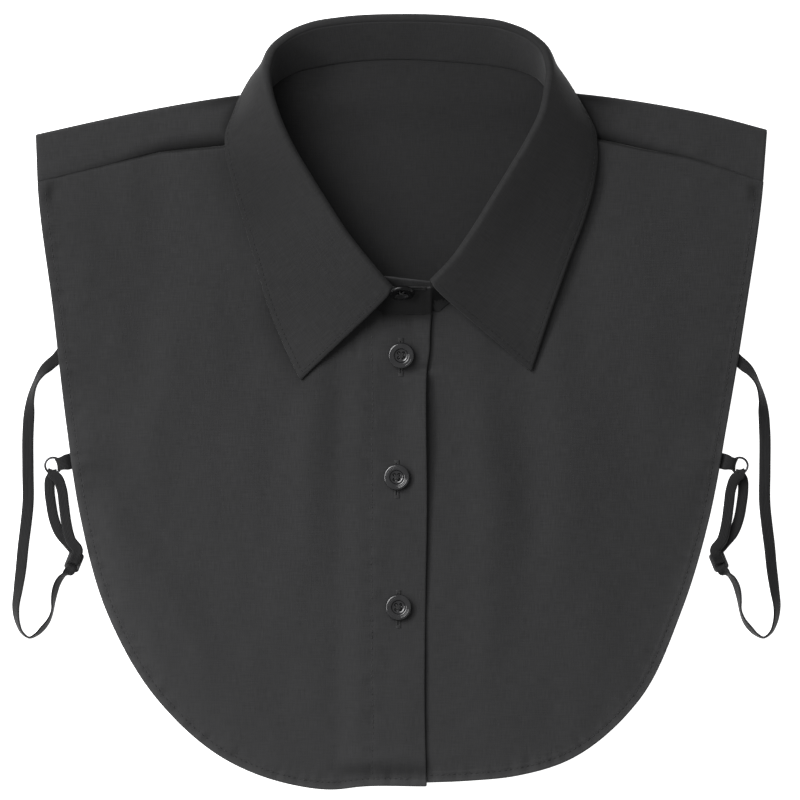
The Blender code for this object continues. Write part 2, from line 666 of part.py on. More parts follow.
def collar_fall():
    """The turned-down part: each section rolls over the stand's top edge and drops to its outer edge."""
    neck, fold, swell, edge = collar_rails(FALL_COLUMNS)
    top, rise, outer = stand_frame(neck, fold)
    start = top + rise * SEAM_GAP
    turn = np.radians(np.linspace(0.0, ROLL_TURN, ROLL_ROWS))[:, None, None]
    roll = start + outer * ROLL_RADIUS * (1 - np.cos(turn)) + rise * ROLL_RADIUS * np.sin(turn)
    leaving = rise * np.cos(turn[-1]) + outer * np.sin(turn[-1])
    spread = np.linspace(0.0, 1.0, DROP_ROWS + 1)[1:, None, None] ** DROP_CROWDING
    rest = 1.0 - spread
    pulled = roll[-1] + leaving * ROLL_PULL
    drop = rest**3 * roll[-1] + 3 * rest**2 * spread * pulled + 3 * rest * spread**2 * swell + spread**3 * edge
    x, y, z = drop[..., 0], drop[..., 1], drop[..., 2]
    floor = np.where(y < shoulder_y(x) + 1.0, resting_height(x, y), COLLAR_WALL / 2)
    drop = np.dstack([x, y, np.maximum(z, floor)])
    points = np.concatenate([roll, drop])
    faces = grid_faces(*points.shape[:2])
    add_cloth("collar_fall", points.reshape(-1, 3), faces, COLLAR_WALL, "collar_cotton", outer)


def collar_stand():
    """The band between neckline and fall, with its two ends buttoned over each other in front."""
    neck, fold, _, _ = collar_rails(FALL_COLUMNS)
    top = stand_frame(neck, fold)[0]
    for end, at_start in ((LEFT_STAND_END, True), (RIGHT_STAND_END, False)):
        base = 0 if at_start else -1
        shares = np.linspace(1.0, 0.0, STAND_END_COLUMNS, endpoint=False)[:, None]
        end_neck = np.array(end["neck"], float)
        height = left_front_height(*end_neck) if at_start else upper_height(*end_neck)
        end_neck = np.append(end_neck, height)
        extra_neck = neck[base] + (end_neck - neck[base]) * shares
        extra_top = top[base] + (np.array(end["top"]) - top[base]) * shares
        if at_start:
            neck, top = np.vstack([extra_neck, neck]), np.vstack([extra_top, top])
        else:
            neck, top = np.vstack([neck, extra_neck[::-1]]), np.vstack([top, extra_top[::-1]])
    foot = neck + unit(top - neck) * STAND_FOOT
    rows = np.linspace(0.0, 1.0, STAND_ROWS + 1)[:, None, None]
    points = foot + (top - foot) * rows
    add_cloth("collar_stand", points.reshape(-1, 3), grid_faces(*points.shape[:2]), COLLAR_WALL, "collar_cotton")


# ================================================================ buttons
def turned(profile, segments):
    """Points and faces of a profile turned about Z; its first and last points lie on the axis."""
    ring = np.array(profile[1:-1])
    angles = np.linspace(0.0, 2 * math.pi, segments, endpoint=False)
    points = np.stack(
        [
            np.outer(ring[:, 0], np.cos(angles)),
            np.outer(ring[:, 0], np.sin(angles)),
            np.repeat(ring[:, 1:], segments, axis=1),
        ],
        axis=2,
    ).reshape(-1, 3)
    bottom, top = len(points), len(points) + 1
    points = np.vstack([points, (0, 0, profile[0][1]), (0, 0, profile[-1][1])])
    faces = []
    for level in range(len(ring) - 1):
        for i in range(segments):
            j = (i + 1) % segments
            faces.append((level * segments + i, level * segments + j, (level + 1) * segments + j, (level + 1) * segments + i))
    last = (len(ring) - 1) * segments
    for i in range(segments):
        j = (i + 1) % segments
        faces.append((j, i, bottom))
        faces.append((last + i, last + j, top))
    return points, faces


def button_mesh():
    """One button with its four thread holes, standing on z = 0."""
    body = add_object("button_blank", *turned(BUTTON_PROFILE, BUTTON_SEGMENTS), "button_gloss")
    drill = bmesh.new()
    for x in (-1, 1):
        for y in (-1, 1):
            made = bmesh.ops.create_cone(
                drill,
                cap_ends=True,
                segments=BUTTON_HOLE_SEGMENTS,
                radius1=BUTTON_HOLE_RADIUS * 0.001,
                radius2=BUTTON_HOLE_RADIUS * 0.001,
                depth=0.008,
            )
            place = (x * BUTTON_HOLE_OFFSET * 0.001, y * BUTTON_HOLE_OFFSET * 0.001, 0.0)
            bmesh.ops.translate(drill, verts=made["verts"], vec=place)
    mesh = bpy.data.meshes.new("button_drill")
    drill.to_mesh(mesh)
    drill.free()
    cutter = bpy.data.objects.new("button_drill", mesh)
    bpy.context.scene.collection.objects.link(cutter)
    cutter.parent = bpy.data.objects["shirt_collar"]
    cut = body.modifiers.new("holes", "BOOLEAN")
    cut.operation = "DIFFERENCE"
    cut.object = cutter
    bpy.context.view_layer.update()
    finished = bpy.data.meshes.new_from_object(body.evaluated_get(bpy.context.evaluated_depsgraph_get()))
    finished.name = "button"
    for helper in (body, cutter):
        bpy.data.objects.remove(helper, do_unlink=True)
    return finished


def place_button(name, mesh, centre, normal):
    """A button whose underside's centre and axis are given."""
    made = bpy.data.objects.new(name, mesh)
    bpy.context.scene.collection.objects.link(made)
    made.parent = bpy.data.objects["shirt_collar"]
    made.location = [value * 0.001 for value in centre]
    tilt = math.atan2(-normal[1], normal[2])
    made.rotation_euler = (tilt, math.asin(normal[0]), 0.0)


def buttons():
    mesh = button_mesh()
    for name, (x, y) in FRONT_BUTTONS.items():
        step = 3.0
        slope_x = (left_front_height(x + step, y) - left_front_height(x - step, y)) / (2 * step)
        slope_y = (left_front_height(x, y + step) - left_front_height(x, y - step)) / (2 * step)
        normal = np.array([-slope_x, -slope_y, 1.0])
        normal /= np.linalg.norm(normal)
        base = np.array([x, y, left_front_height(x, y)]) + normal * (PANEL_WALL / 2 + LAYER_GAP)
        place_button(name, mesh, base, normal)
    end_neck, end_top = np.array(LEFT_STAND_END["neck"], float), np.array(LEFT_STAND_END["top"])
    foot = np.array([STAND_BUTTON_X, end_neck[1], left_front_height(STAND_BUTTON_X, end_neck[1])])
    top = np.array([STAND_BUTTON_X, end_top[1], end_top[2]])
    up = (top - foot) / np.linalg.norm(top - foot)
    normal = np.array([0.0, -up[2], up[1]])
    base = foot + (top - foot) * STAND_BUTTON_SHARE + normal * (COLLAR_WALL / 2 + LAYER_GAP)
    place_button("button_stand", mesh, base, normal)


# ================================================================ side straps
def mirrored(points, side):
    """Left-hand points as they are, or mirrored to the right."""
    points = np.array(points, float)
    if side == "right":
        points[..., 0] = 2 * MIRROR_X - points[..., 0]
    return points


def heading(degrees):
    return np.array([math.cos(math.radians(degrees)), math.sin(math.radians(degrees)), 0.0])


def band(centres, widthways, bows):
    """A band three points wide: its centre line, its half widths as vectors, and its bow as vectors."""
    return np.stack([centres - widthways + bows, centres, centres + widthways + bows], axis=1)


def ring_turn(outward_heading, width):
    """A band's turn round the ring's wire: centres, half widths and bows from below it to above it."""
    outward = heading(outward_heading)
    limb = np.array([*RING_CENTRE, RING_Z]) + outward * RING_RADIUS
    tangent = np.array([-outward[1], outward[0], 0.0])
    centres, bows = [], []
    for step in range(TURN_STEPS + 1):
        angle = math.pi * step / TURN_STEPS
        inward = -outward * math.sin(angle)
        centres.append(limb + inward * TURN_RADIUS + np.array([0.0, 0.0, -math.cos(angle) * TURN_RADIUS]))
        bows.append(inward * TURN_BOW)
    halves = np.repeat((tangent * width / 2)[None], len(centres), axis=0)
    return np.array(centres), halves, np.array(bows)


def in_slider(thread):
    """Points given along and across the slider, in the garment's frame."""
    along, across = heading(SLIDER_HEADING), heading(SLIDER_HEADING - 90.0)
    return [
        np.array([*SLIDER_CENTRE, 0.0]) + along * t + across * s + np.array([0.0, 0.0, z]) for t, s, z in thread
    ]


def standing_height(width, twist):
    """How high the middle of a twisted band is when its lower edge lies on the surface."""
    angle = np.radians(twist)
    return (width * np.sin(angle) + STRAP_THICKNESS * np.cos(angle)) / 2


def long_run():
    """The long loop of elastic from the back's side edge to the slider: centres and twists."""
    centres, twists = [], []
    for x, y in STRAP_START[:-1]:
        centres.append((x, y, STRAP_THICKNESS / 2))
        twists.append(0.0)
    for x, y, twist in STRAP_ROUTE:
        centres.append((x, y, standing_height(STRAP_WIDTH, twist)))
        twists.append(twist)
    return centres, twists


def strap_centre_line():
    """The whole elastic: centres, twists, widths and bows at the points that shape it."""
    centres, twists = long_run()
    rows = [(np.array(c, float), t, STRAP_WIDTH, 0.0) for c, t in zip(centres, twists)]
    for point in in_slider(THREAD_IN) + in_slider(THREAD_OUT):
        rows.append((point, 0.0, STRAP_WIDTH, 0.0))
    for point in RUN_UP:
        rows.append((np.array(point), 0.0, STRAP_WIDTH, 0.0))
    turn, _, bows = ring_turn(RING_TURN_HEADING, RING_TURN_WIDTH)
    for point, bow in zip(turn, bows):
        rows.append((point, 0.0, RING_TURN_WIDTH, float(np.linalg.norm(bow))))
    for point in RUN_BACK:
        rows.append((np.array(point), 0.0, STRAP_WIDTH, 0.0))
    for point in in_slider(THREAD_END):
        rows.append((point, 0.0, STRAP_WIDTH, 0.0))
    return rows


def strap(side):
    """One side's elastic in one piece."""
    rows = strap_centre_line()
    columns = np.array([[*centre, twist, width, bow] for centre, twist, width, bow in rows])
    chords = np.linalg.norm(np.diff(columns[:, :3], axis=0), axis=1)
    stops = np.concatenate([[0.0], np.cumsum(chords)])
    curve = Curve(columns, stops)
    shares = [0.0]
    for low, high, chord in zip(curve.stops[:-1], curve.stops[1:], chords):
        shares.extend(np.linspace(low, high, max(1, math.ceil(chord / STRAP_STEP)) + 1)[1:])
    sampled = curve.at(shares)
    centres, twists, widths, bows = sampled[:, :3], sampled[:, 3], sampled[:, 4], sampled[:, 5]
    centres[:, 2] = np.maximum(centres[:, 2], standing_height(widths, twists))
    tangents = np.gradient(centres, np.asarray(shares), axis=0)
    tangents /= np.linalg.norm(tangents, axis=1)[:, None]
    level = widthways_along(tangents)
    normals = np.cross(tangents, level)
    angle = np.radians(twists)[:, None]
    halves = (level * np.cos(angle) + normals * np.sin(angle)) * widths[:, None] / 2
    inward = np.array([*RING_CENTRE, RING_Z]) - centres
    inward[:, 2] = 0.0
    inward /= np.linalg.norm(inward, axis=1)[:, None]
    points = mirrored(band(centres, halves, inward * bows[:, None]), side)
    faces = grid_faces(*points.shape[:2])
    if side == "right":
        faces = faces[:, ::-1]
    points, faces = walled(points.reshape(-1, 3), faces, STRAP_THICKNESS)
    points[:, 2] -= points[:, 2].min()
    add_object("strap_" + side, points, faces, "elastic")


def widthways_along(tangents):
    """Level directions across a band that turns over without flipping: each keeps near the one before."""
    up = np.array([0.0, 0.0, 1.0])
    level = np.cross(up, tangents[0])
    found = []
    for tangent in tangents:
        flat = np.cross(up, tangent)
        if np.linalg.norm(flat) > 0.35:
            level = flat if np.dot(flat, level) > 0 else -flat
        level = level - tangent * np.dot(level, tangent)
        level = level / np.linalg.norm(level)
        found.append(level)
    return np.array(found)


def tab(side):
    """A folded tape that holds the ring: from under the front round the ring's wire and back."""
    inward = heading(TAB_HEADING)
    sideways = np.array([-inward[1], inward[0], 0.0])
    turn, halves, bows = ring_turn(TAB_HEADING, TAB_TURN_WIDTH)
    lower = [(TAB_LENGTH, 0.5), (6.5, 0.5), (3.2, 0.5)]
    upper = [(2.6, 3.2), (4.6, 2.2), (6.5, 1.95), (TAB_LENGTH, 1.85)]
    limb = np.array([*RING_CENTRE, 0.0]) + inward * RING_RADIUS
    wide = sideways * TAB_WIDTH / 2
    centres = [limb + inward * t + np.array([0, 0, z]) for t, z in lower]
    centres += list(turn)
    centres += [limb + inward * t + np.array([0, 0, z]) for t, z in upper]
    half = [wide] * len(lower) + list(halves) + [wide] * len(upper)
    bow = [np.zeros(3)] * len(lower) + list(bows) + [np.zeros(3)] * len(upper)
    points = mirrored(band(np.array(centres), np.array(half), np.array(bow)), side)
    faces = grid_faces(*points.shape[:2])
    if side == "left":
        faces = faces[:, ::-1]
    add_object("tab_" + side, *walled(points.reshape(-1, 3), faces, STRAP_THICKNESS), "elastic")


def ring(side):
    """The ring that joins tab and elastic: a torus of round wire."""
    around = np.linspace(0.0, 2 * math.pi, RING_SEGMENTS, endpoint=False)[:, None]
    section = np.linspace(0.0, 2 * math.pi, RING_SIDES, endpoint=False)[None, :]
    reach = RING_RADIUS + RING_WIRE * np.cos(section)
    points = np.stack(
        [
            RING_CENTRE[0] + reach * np.cos(around),
            RING_CENTRE[1] + reach * np.sin(around),
            RING_Z + RING_WIRE * np.sin(section) + 0 * around,
        ],
        axis=2,
    )
    points = mirrored(points, side)
    index = np.arange(RING_SEGMENTS * RING_SIDES).reshape(RING_SEGMENTS, RING_SIDES)
    next_round, next_side = np.roll(index, -1, axis=0), np.roll(index, -1, axis=1)
    faces = np.stack([a.ravel() for a in (index, next_round, np.roll(next_round, -1, axis=1), next_side)], axis=1)
    if side == "right":
        faces = faces[:, ::-1]
    add_object("ring_" + side, points.reshape(-1, 3), faces, "ring_metal")


def rounded_rectangle(length, width, corner):
    """Points round a rectangle with arc corners, anticlockwise, as along and across."""
    points = []
    for quarter, (sign_x, sign_y) in enumerate(((1, 1), (-1, 1), (-1, -1), (1, -1))):
        for step in range(SLIDER_CORNER_STEPS + 1):
            angle = math.pi / 2 * (quarter + step / SLIDER_CORNER_STEPS)
            x = sign_x * (length / 2 - corner) + corner * math.cos(angle)
            y = sign_y * (width / 2 - corner) + corner * math.sin(angle)
            points.append((x, y))
    return points


def slider(side):
    """The figure-of-eight slider: a rounded plate with two windows and a bar between them."""
    window_length = (SLIDER_LENGTH - 2 * SLIDER_BORDER - SLIDER_BAR) / 2
    window_width = SLIDER_WIDTH - 2 * SLIDER_BORDER
    window_centre = (SLIDER_BAR + window_length) / 2
    plate = prism("slider_plate", rounded_rectangle(SLIDER_LENGTH, SLIDER_WIDTH, SLIDER_CORNER), 0.0, SLIDER_BOTTOM, SLIDER_TOP, side)
    for name, sign in (("slider_cut_a", -1), ("slider_cut_b", 1)):
        outline = rounded_rectangle(window_length, window_width, SLIDER_CORNER / 3)
        cutter = prism(name, outline, sign * window_centre, SLIDER_BOTTOM - 1, SLIDER_TOP + 1, side)
        cut = plate.modifiers.new(name, "BOOLEAN")
        cut.operation = "DIFFERENCE"
        cut.object = cutter
    bpy.context.view_layer.update()
    finished = bpy.data.meshes.new_from_object(plate.evaluated_get(bpy.context.evaluated_depsgraph_get()))
    for helper in ("slider_plate", "slider_cut_a", "slider_cut_b"):
        bpy.data.objects.remove(bpy.data.objects[helper], do_unlink=True)
    made = bpy.data.objects.new("slider_" + side, finished)
    bpy.context.scene.collection.objects.link(made)
    made.parent = bpy.data.objects["shirt_collar"]


def prism(name, outline, shift, bottom, top, side):
    """An outline along and across the slider, moved along it and raised between two heights."""
    along, across = heading(SLIDER_HEADING), heading(SLIDER_HEADING + 90.0)
    centre = np.array([*SLIDER_CENTRE, 0.0])
    ring_points = np.array([centre + along * (x + shift) + across * y for x, y in outline])
    points = np.vstack([ring_points + (0, 0, bottom), ring_points + (0, 0, top)])
    points = mirrored(points, side)
    count = len(outline)
    faces = [tuple(range(count - 1, -1, -1)), tuple(range(count, 2 * count))]
    faces += [(i, (i + 1) % count, count + (i + 1) % count, count + i) for i in range(count)]
    if side == "right":
        faces = [face[::-1] for face in faces]
    return add_object(name, points, faces, "slider_plastic")


# ================================================================ assembly
def main():
    for old in list(bpy.data.objects):
        bpy.data.objects.remove(old, do_unlink=True)
    root = bpy.data.objects.new("shirt_collar", None)
    root.location = (SHIFT_X * 0.001, SHIFT_Y * 0.001, 0.0)
    bpy.context.scene.collection.objects.link(root)
    back()
    left_neck = (section_share("left_6"), 0.0)
    right_neck = (section_share("right_6"), 1.0)
    front("front_left", LEFT_OUTLINE, LEFT_SEAM, left_neck, PLACKET_EDGE, left_front_height)
    front("front_right", RIGHT_OUTLINE, RIGHT_SEAM, right_neck, UNDERLAP_EDGE, upper_height)
    collar_stand()
    collar_fall()
    buttons()
    for side in ("left", "right"):
        strap(side)
        tab(side)
        ring(side)
        slider(side)


main()
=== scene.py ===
"""Detachable shirt collar: a half-shirt laid flat on its back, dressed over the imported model.

Lengths in the tables are millimetres, +X to the right of someone who looks down on the garment,
+Y from the hem to the collar and +Z up. Left and right are those of that person.
"""

from __future__ import annotations

import logging
import math
from dataclasses import dataclass, field
from enum import Enum
from typing import Any, Callable, Sequence

import bpy
import numpy as np
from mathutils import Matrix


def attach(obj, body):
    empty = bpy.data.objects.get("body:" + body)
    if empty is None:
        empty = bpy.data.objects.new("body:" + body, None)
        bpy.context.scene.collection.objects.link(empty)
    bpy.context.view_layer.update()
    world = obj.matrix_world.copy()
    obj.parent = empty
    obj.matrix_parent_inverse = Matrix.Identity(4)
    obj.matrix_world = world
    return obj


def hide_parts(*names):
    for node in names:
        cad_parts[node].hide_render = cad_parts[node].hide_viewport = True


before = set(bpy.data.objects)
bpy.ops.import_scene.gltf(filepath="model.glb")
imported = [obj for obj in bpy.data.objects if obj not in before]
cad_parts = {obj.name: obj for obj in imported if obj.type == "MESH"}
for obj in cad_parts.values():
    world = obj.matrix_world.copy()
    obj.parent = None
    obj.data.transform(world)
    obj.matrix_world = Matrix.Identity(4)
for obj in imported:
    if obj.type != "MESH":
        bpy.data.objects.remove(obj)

LOG = logging.getLogger("shirt_collar")
Array = np.ndarray
Faces = list[list[int]]
Pair = tuple[float, float]
Colour = tuple[float, float, float]
Rows = tuple[tuple[float, ...], ...]
MM = 0.001
CLOTH_MAP = "cloth"  # the map of a piece's own coordinates, across and along the cloth
PAINTED_SHADE_AND_LIGHT = "depth"  # the attribute of painted shade, which deepens the cloth's colour, and of painted light below 0, which makes it paler
SHIFT = np.array((-0.2, -0.55, 0.0))  # from the tables' origin to the frame's origin
UP = np.array((0.0, 0.0, 1.0))
ACROSS = np.array((1.0, 0.0, 0.0))
ONWARD = np.array((0.0, 1.0, 0.0))
THREAD_SIDES = 7


# ---- shader maths
def operator(operation: str) -> Callable[[Wire, float | Wire], Wire]:
    """A method that combines a wire with a number or a wire by one kind of Math node."""
    return lambda wire, other: wire.apply(operation, other)


class Wire:
    """A number that travels through a node tree; arithmetic on it adds Math nodes."""

    def __init__(self, tree: bpy.types.NodeTree, socket: bpy.types.NodeSocket) -> None:
        """Keeps the tree and the output socket that carries the number."""
        self.tree = tree
        self.socket = socket

    def apply(self, operation: str, *others: float | Wire, first: float | Wire | None = None) -> Wire:
        """One Math node.

        Args:
            operation: the Math node's operation.
            others: its further inputs.
            first: takes this wire's place as first input, and this wire comes second.

        Returns:
            The result as a wire.
        """
        node = self.tree.nodes.new("ShaderNodeMath")
        node.operation = operation
        values = [self, *others] if first is None else [first, self]
        for slot_in, value in zip(node.inputs, values):
            if isinstance(value, Wire):
                self.tree.links.new(value.socket, slot_in)
            else:
                slot_in.default_value = float(value)
        return Wire(self.tree, node.outputs[0])

    __add__ = __radd__ = operator("ADD")
    __sub__ = operator("SUBTRACT")
    __mul__ = __rmul__ = operator("MULTIPLY")

    def __rsub__(self, other: float) -> Wire:
        """Difference from a plain number."""
        return self.apply("SUBTRACT", first=other)

    def sine(self) -> Wire:
        """Sine of the number in radians."""
        return self.apply("SINE")

    def size(self) -> Wire:
        """Absolute value."""
        return self.apply("ABSOLUTE")

    def between(self, low: float, high: float) -> Wire:
        """The number held between two limits."""
        return self.apply("MAXIMUM", low).apply("MINIMUM", high)


class Recipe:
    """A new material with its Principled shader, and short ways to add nodes."""

    def __init__(self, name: str, constants: dict[str, float]) -> None:
        """Makes the material, with the values of the shader's sockets that are the same all over."""
        self.material = bpy.data.materials.new(name)
        self.material.use_nodes = True
        self.tree = self.material.node_tree
        self.shader = self.tree.nodes["Principled BSDF"]
        for key, value in constants.items():
            self.shader.inputs[key].default_value = value

    def connect(self, value: Any, target: bpy.types.NodeSocket) -> None:
        """Links a wire or a socket to an input, or sets a plain value on it."""
        value = value.socket if isinstance(value, Wire) else value
        if isinstance(value, bpy.types.NodeSocket):
            self.tree.links.new(value, target)
        else:
            target.default_value = value

    def node(self, kind: str, inputs: dict[str | int, Any] | None = None, **settings: Any) -> bpy.types.Node:
        """Adds a node.

        Args:
            kind: the node's type without its ShaderNode prefix.
            inputs: values, wires or sockets for its inputs, by name or number.
            settings: the node's properties.

        Returns:
            The node.
        """
        made = self.tree.nodes.new("ShaderNode" + kind)
        for key, value in settings.items():
            setattr(made, key, value)
        for key, value in (inputs or {}).items():
            self.connect(value, made.inputs[key])
        return made

    def wire(self, socket: bpy.types.NodeSocket) -> Wire:
        """A socket as a number to calculate with."""
        return Wire(self.tree, socket)

    def place(self) -> bpy.types.NodeSocket:
        """Where the shaded point is, in metres."""
        return self.node("TexCoord").outputs["Object"]

    def plan(self, place: bpy.types.NodeSocket) -> tuple[Wire, Wire]:
        """The first two numbers of a vector."""
        parts = self.node("SeparateXYZ", {0: place}).outputs
        return self.wire(parts["X"]), self.wire(parts["Y"])

    def cloth_axes(self) -> tuple[Wire, Wire]:
        """Across and along the cloth, in millimetres, from the piece's own map."""
        across, along = self.plan(self.node("UVMap", uv_map=CLOTH_MAP).outputs["UV"])
        return across * 1000.0, along * 1000.0

    def point(self, x: Wire | float, y: Wire | float, z: Wire | float = 0.0) -> bpy.types.NodeSocket:
        """A vector from three numbers."""
        return self.node("CombineXYZ", {"X": x, "Y": y, "Z": z}).outputs[0]

    def noise(self, place: bpy.types.NodeSocket, scale: float = 1.0, detail: float = 3.0) -> Wire:
        """Cloudy noise around a half."""
        inputs = {"Vector": place, "Scale": scale, "Detail": detail, "Roughness": 0.55}
        return self.wire(self.node("TexNoise", inputs, noise_dimensions="3D").outputs[0])

    def mix(self, share: Wire, low: Colour | bpy.types.NodeSocket, high: Colour) -> bpy.types.NodeSocket:
        """A colour between two colours.

        Args:
            share: how much of the second.
            low: the first, as a colour or a socket.
            high: the second.

        Returns:
            The mixed colour's socket.
        """
        made = self.node("Mix", {"Factor": share}, data_type="RGBA")
        first, second = (socket for socket in made.inputs if socket.type == "RGBA")
        self.connect(low if isinstance(low, bpy.types.NodeSocket) else (*low, 1.0), first)
        self.connect((*high, 1.0), second)
        return next(out for out in made.outputs if out.type == "RGBA")

    def bump(self, height: Wire, depth_mm: float, strength: float) -> None:
        """Feeds a relief of a given depth to the shader's normal."""
        made = self.node("Bump", {"Height": height, "Distance": depth_mm * MM, "Strength": strength})
        self.feed("Normal", made.outputs["Normal"])

    def feed(self, key: str, value: Wire | bpy.types.NodeSocket) -> None:
        """Links a wire or a socket to one of the shader's inputs."""
        self.connect(value, self.shader.inputs[key])


# ---- finishes
@dataclass(frozen=True)
class Cotton:
    """Plain-weave cotton: fine threads over and under, with slubs along both ways of the cloth."""

    name: str
    dark: Colour
    light: Colour
    thread_mm: float = 0.3
    relief_mm: float = 0.05
    fuzz: float = 0.04
    fade: float = 0.0  # painted light: how much paler the colour is painted a metre toward the hem
    painted_light_side: float = 0.5  # the same toward the left, as a share of that
    painted_light_most: float = 0.4
    warp: Pair = (2.6, 0.16)  # slubs to the millimetre across and along
    weft: Pair = (0.13, 2.4)
    cloud: Pair = (0.05, 0.03)
    mixing: tuple[float, ...] = (1.1, 0.9, 0.3, 0.10)  # of warp, weft, cloud and weave in the colour
    # painted shade and painted light: the colours that the stored attribute mixes in
    painted_shade_colour: Colour = (0.001, 0.001, 0.001)
    painted_light_colour: Colour = (0.06, 0.06, 0.061)

    def make(self) -> bpy.types.Material:
        """The weave is sine across times sine along; the slubs are noise drawn out along each way. Painted light
        pales it evenly toward the hem and the left, and the stored painted shade and light mix it toward black or
        pale."""
        mix = Recipe(self.name, {"Sheen Weight": self.fuzz, "Sheen Roughness": 0.45, "Specular IOR Level": 0.12})
        across, along = mix.cloth_axes()
        turn = math.pi / self.thread_mm
        weave = (across * turn).sine() * (along * turn).sine()
        warp, weft, cloud = (
            mix.noise(mix.point(across * scale[0], along * scale[1], layer))
            for scale, layer in ((self.warp, 0.0), (self.weft, 4.0), (self.cloud, 9.0))
        )
        x, y = mix.plan(mix.place())
        painted_light_share = ((x * self.painted_light_side + y) * -self.fade).between(0.0, self.painted_light_most)
        of_warp, of_weft, of_cloud, of_weave = self.mixing
        slubs = 0.5 + (warp - 0.5) * of_warp + (weft - 0.5) * of_weft + (cloud - 0.5) * of_cloud
        cloth = mix.mix((slubs + weave * of_weave + painted_light_share).between(0.0, 1.0), self.dark, self.light)
        # painted shade mixes the colour toward black, painted light (below 0) toward pale
        depth = mix.wire(mix.node("Attribute", attribute_name=PAINTED_SHADE_AND_LIGHT).outputs["Fac"])
        with_painted_shade = mix.mix(depth.between(0.0, 0.9), cloth, self.painted_shade_colour)
        mix.feed("Base Color", mix.mix((depth * -1.0).between(0.0, 0.9), with_painted_shade, self.painted_light_colour))
        mix.feed("Roughness", (0.82 + (cloud - 0.5) * 0.12 - weave * 0.03).between(0.0, 1.0))
        mix.bump(weave * 0.45 + warp * 1.3 + weft * 1.1, self.relief_mm, 0.8)
        return mix.material


@dataclass(frozen=True)
class Elastic:
    """Woven elastic: fine ribs along its length crossed by picks."""

    name: str = "elastic_weave"
    dark: Colour = (0.004, 0.004, 0.0043)
    light: Colour = (0.015, 0.015, 0.0157)
    rib_mm: float = 0.62
    pick_mm: float = 0.55
    slant: float = 0.5
    relief_mm: float = 0.07

    def make(self) -> bpy.types.Material:
        """Ribs are a sine across the band, and picks a slanted sine along it."""
        mix = Recipe(self.name, {"Sheen Weight": 0.04, "Sheen Roughness": 0.4, "Specular IOR Level": 0.15})
        across, along = mix.cloth_axes()
        ribs = (across * (2 * math.pi / self.rib_mm)).sine()
        picks = ((along + across.size() * self.slant) * (2 * math.pi / self.pick_mm)).sine()
        wear_and_painted_light = mix.noise(mix.point(across * 0.6, along * 0.12))
        share = 0.45 + ribs * 0.18 + picks * 0.14 + (wear_and_painted_light - 0.5) * 0.8
        mix.feed("Base Color", mix.mix(share.between(0.0, 1.0), self.dark, self.light))
        mix.feed("Roughness", (0.62 + (wear_and_painted_light - 0.5) * 0.2).between(0.0, 1.0))
        mix.bump(ribs * 0.6 + picks * 0.5, self.relief_mm, 0.9)
        return mix.material


@dataclass(frozen=True)
class Gloss:
    """A hard smooth finish: polished buttons, coated wire or satin plastic."""

    name: str
    dark: Colour
    light: Colour
    roughness: float
    metallic: float = 0.0
    coat: float = 0.0
    fine: float = 1000.0 / 0.6  # grains to the metre
    broad: float = 220.0

    def make(self) -> bpy.types.Material:
        """Colour and roughness drift with two sizes of noise, as handling leaves them."""
        mix = Recipe(self.name, {"Metallic": self.metallic, "Coat Weight": self.coat, "Coat Roughness": 0.08})
        place = mix.place()
        fine, broad = mix.noise(place, self.fine), mix.noise(place, self.broad)
        share = 0.5 + (broad - 0.5) * 1.4 + (fine - 0.5) * 0.5
        mix.feed("Base Color", mix.mix(share.between(0.0, 1.0), self.dark, self.light))
        rough = self.roughness + (broad - 0.5) * 0.10 + (fine - 0.5) * 0.08
        mix.feed("Roughness", rough.between(0.03, 1.0))
        mix.bump(fine, 0.01, 0.4)
        return mix.material


@dataclass(frozen=True)
class Thread:
    """Spun sewing thread: a twist that runs round it."""

    name: str
    dark: Colour
    light: Colour
    twist: float = 5200.0  # turns of the fibres to the metre

    def make(self) -> bpy.types.Material:
        """The twist is a fine noise on the place in space."""
        mix = Recipe(self.name, {"Sheen Weight": 0.05, "Specular IOR Level": 0.2})
        twist = mix.noise(mix.place(), self.twist, 2.0)
        mix.feed("Base Color", mix.mix(twist, self.dark, self.light))
        mix.feed("Roughness", (0.5 + (twist - 0.5) * 0.3).between(0.0, 1.0))
        mix.bump(twist, 0.05, 0.6)
        return mix.material


@dataclass(frozen=True)
class Tabletop:
    """The pale plain surface under the garment."""

    name: str = "pale_tabletop"
    low: Colour = (0.85, 0.85, 0.85)
    high: Colour = (0.87, 0.87, 0.87)
    glow: float = 1.2

    def make(self) -> bpy.types.Material:
        """An even pale tone with a very faint drift."""
        mix = Recipe(self.name, {"Specular IOR Level": 0.1, "Roughness": 0.95, "Emission Strength": self.glow})
        pale = mix.mix(mix.noise(mix.place(), 3.0, 2.0), self.low, self.high)
        mix.feed("Base Color", pale)
        mix.feed("Emission Color", pale)
        return mix.material


